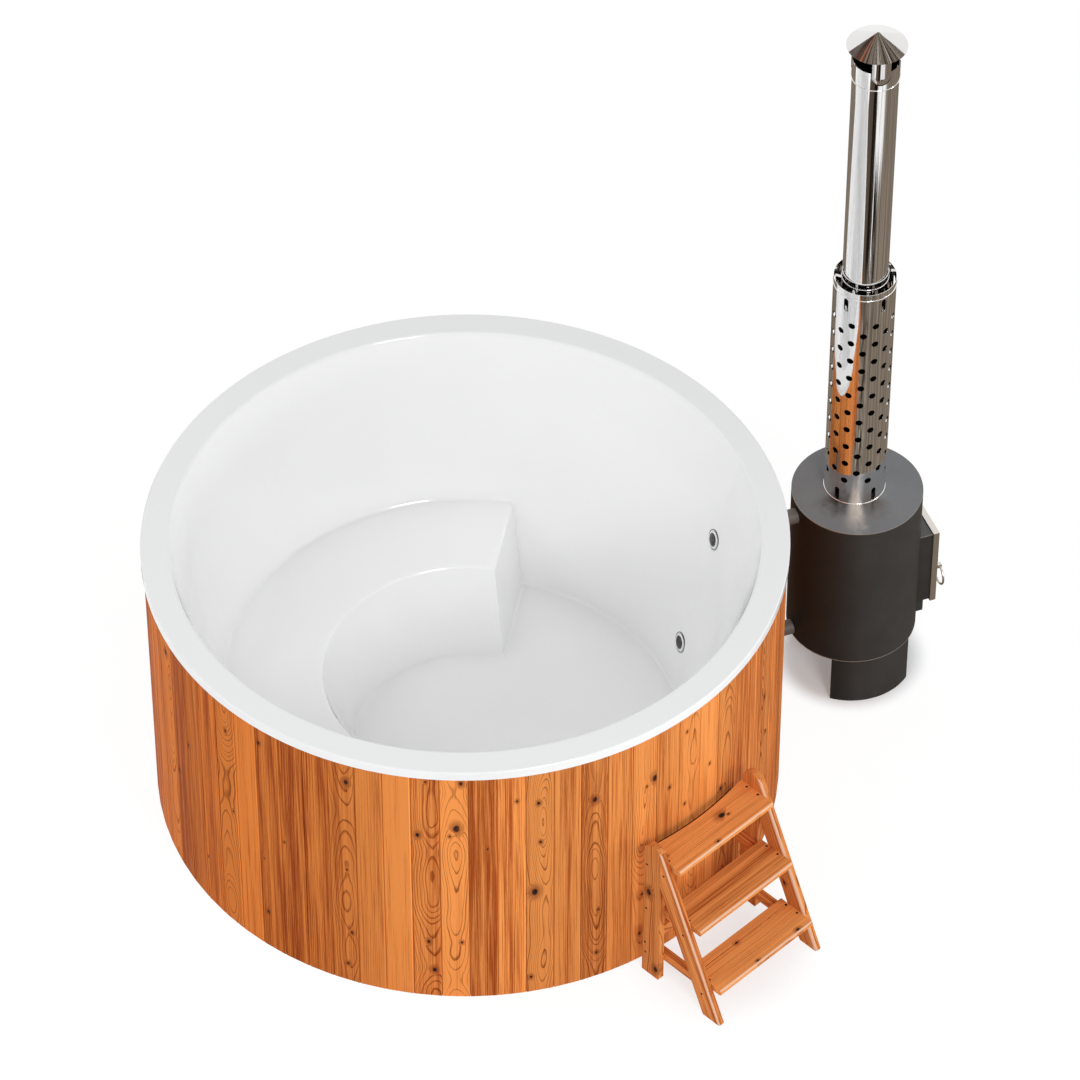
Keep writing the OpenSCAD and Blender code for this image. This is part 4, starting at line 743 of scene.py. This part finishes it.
def ground_reflection():
    """The ground that the flue mirrors: brown-grey, dark before the tub, white far out in front.

    turn is the heading from the flue; the photo's camera stands at -111 degrees."""
    s = Shader("ground_card")
    x, y, z = s.place()
    dx, dy = x - HEATER_X, y - FLUE_Y
    far = length(dx, dy)
    turn = dy.angle(dx) * DEGREES
    streak = s.noise(s.vector(turn * 0.16, far * 0.8, 0.0), 1.0, 3.0, 0.6)
    thin = s.noise(s.vector(turn * 0.75, far * 1.4, 4.0), 1.0, 2.0, 0.6)
    colour = s.mix(srgb(98, 88, 77), srgb(146, 134, 120), streak.ramp(0.30, 0.70))
    left = sector(turn, -152.0, -140.0, -112.0, -104.0)
    colour = s.mix(colour, srgb(78, 66, 56), left * far.ramp(1.55, 1.95) * 0.85)
    black = sector(turn, -120.0, -115.0, -104.0, -100.0) * far.ramp(1.85, 2.05)
    colour = s.mix(colour, srgb(22, 17, 15), black * thin.ramp(0.25, 0.45))
    # The broken marks that the guard's upper half mirrors
    marks = s.noise(s.vector(turn * 0.12, far * 9.0, 2.0), 1.0, 3.0, 0.7)
    bent = sector(turn, -126.0, -116.0, -96.0, -84.0) * far.ramp(1.70, 1.85, 1.0, 0.0)
    colour = s.mix(colour, srgb(38, 33, 29), bent * marks.ramp(0.53, 0.58) * 0.85)
    colour = s.mix(colour, srgb(196, 188, 180), bent * marks.ramp(0.36, 0.40, 1.0, 0.0) * 0.7)
    # The fine dark and white lines on the right of the upper flue
    lines = s.noise(s.vector(turn * 0.30, far * 1.6, 9.0), 1.0, 2.0, 0.6)
    right = sector(turn, -104.0, -99.0, -78.0, -70.0) * far.ramp(1.82, 1.92)
    colour = s.mix(colour, srgb(22, 18, 16), right * lines.ramp(0.50, 0.54, 1.0, 0.0))
    colour = s.mix(colour, (0.93, 0.93, 0.94, 1), right * lines.ramp(0.56, 0.59))
    white = sector(turn, -100.0, -96.0, -66.0, -56.0) * (far + thin * 0.9).ramp(2.85, 3.05)
    return s.glow(s.mix(colour, (0.95, 0.95, 0.96, 1), white * lines.ramp(0.30, 0.42)))


def overhead_reflection():
    """What the rain cap mirrors from above: dark and pale bands side by side."""
    s = Shader("overhead_card")
    x, y, z = s.place()
    band = s.noise(s.vector(x * 4.9, y * 0.2, 0.0), 1.0, 3.0, 0.65)
    thin = s.noise(s.vector(x * 11.6, y * 0.4, 7.0), 1.0, 2.0, 0.6)
    fine = s.noise(s.vector(x * 18.0, y * 0.4, 3.0), 1.0, 1.0)
    colour = s.mix(srgb(140, 128, 114), srgb(44, 36, 32), band.ramp(0.47, 0.57))
    colour = s.mix(colour, srgb(225, 220, 214), band.ramp(0.38, 0.44, 1.0, 0.0) * 0.9)
    colour = s.mix(colour, srgb(22, 18, 16), thin.ramp(0.54, 0.57) * 0.9)
    colour = s.mix(colour, srgb(232, 226, 220), fine.ramp(0.62, 0.65) * 0.85)
    left = sector(x - HEATER_X, -1.9, -1.6, -0.8, -0.6)
    colour = s.mix(colour, srgb(58, 48, 42), left * fine.ramp(0.46, 0.50) * 0.8)
    return s.glow(s.mix(colour, srgb(184, 84, 34), left * fine.ramp(0.42, 0.44, 1.0, 0.0) * 0.9))


def wall_reflection():
    """What the metal mirrors when it is seen from low down: grey flags before the white studio."""
    s = Shader("wall_card")
    x, y, z = s.place()
    turn = (y - FLUE_Y).angle(x - HEATER_X) * DEGREES
    streak = s.noise(s.vector(turn * 0.22, z * 0.15, 6.0), 1.0, 3.0, 0.6)
    return s.glow(s.mix(srgb(92, 83, 74), srgb(168, 158, 146), streak.ramp(0.34, 0.66)))


def level_card(name, corners, level, turn, centre, material):
    """A level card that only mirrors see. Its corners are sideways and forward from its centre."""
    points = [Matrix.Rotation(turn, 3, "Z") @ Vector((u, v, 0)) + Vector(centre + (level,))
              for u, v in corners]
    stage_card(name, points, material, only_reflected=True)


# The metal in the photo mirrors brown-grey surroundings, and these cards stand in for them
level_card("card_ground", [(-0.9, -6), (6, -6), (6, 6), (-0.9, 6)], 0.004, 0.0, (0.0, 0.0),
           ground_reflection())
level_card("card_overhead", [(-2.1, -0.9), (2.1, -0.9), (2.1, 1.84), (-2.1, 1.57)], 4.5, VIEW_TURN,
           (HEATER_X, FLUE_Y), overhead_reflection())

# Seen from above, the metal mirrors only the ground near it; the flags stand farther out, and too
# low for the rain cap. Each is a heading and a width, in degrees.
FLAGS = ((-170, 17), (-128, 9), (-96, 20), (-52, 10), (-20, 18), (24, 9), (98, 10), (126, 18),
         (164, 8))
FLAG_REACH, FLAG_FOOT, FLAG_TOP = 4.6, 0.01, 1.9
flag_look = wall_reflection()
for number, (start, width) in enumerate(FLAGS):
    spots = [(HEATER_X + FLAG_REACH * math.cos(a), FLUE_Y + FLAG_REACH * math.sin(a))
             for a in (math.radians(start), math.radians(start + width))]
    corners = [spot + (FLAG_FOOT,) for spot in spots] + [spot + (FLAG_TOP,) for spot in spots[::-1]]
    stage_card("card_wall_%d" % number, corners, flag_look, only_reflected=True)

world = bpy.data.worlds.new("studio")
bpy.context.scene.world = world
sky = Tree(world)
lighting = sky.node("Background", sockets={"Color": WHITE, "Strength": 0.62})
seen = sky.node("Background", sockets={"Color": WHITE, "Strength": 1.0})
sky.node("OutputWorld", sockets={0: sky.either(sky.seen_directly(), lighting, seen)}, out=None)


def softbox(name, at, aim, width, height, watts):
    light = bpy.data.lights.new(name, "AREA")
    light.shape = "RECTANGLE"
    light.size, light.size_y = width, height
    light.energy = watts
    obj = bpy.data.objects.new(name, light)
    obj.location = at
    obj.rotation_euler = (Vector(aim) - Vector(at)).to_track_quat("-Z", "Y").to_euler()
    bpy.context.scene.collection.objects.link(obj)
    return obj


softbox("key", (0.7, -8.5, 6.4), (0.2, 0, 0.5), 2.6, 2.6, 290)
softbox("fill", (-6.8, 1.0, 5.0), (0, 0, 0.5), 5.0, 5.0, 125).visible_glossy = False
softbox("side", (9.0, -6.5, 1.1), (0.6, -0.6, 0.5), 5.0, 1.8, 210)

# Fitted to the photo: the ellipses of the rim and of the tub's foot, the flue and the steps
camera = bpy.data.objects.new("camera", bpy.data.cameras.new("camera"))
camera.data.lens = 199.2
camera.data.sensor_width = 36.0
camera.data.clip_end = 200.0
camera.location = (-4.4359, -12.2480, 13.998)
camera.rotation_euler = (math.radians(45.048), 0, VIEW_TURN)
bpy.context.scene.collection.objects.link(camera)
bpy.context.scene.camera = camera
bpy.context.scene.view_settings.view_transform = "Standard"

bpy.context.view_layer.update()
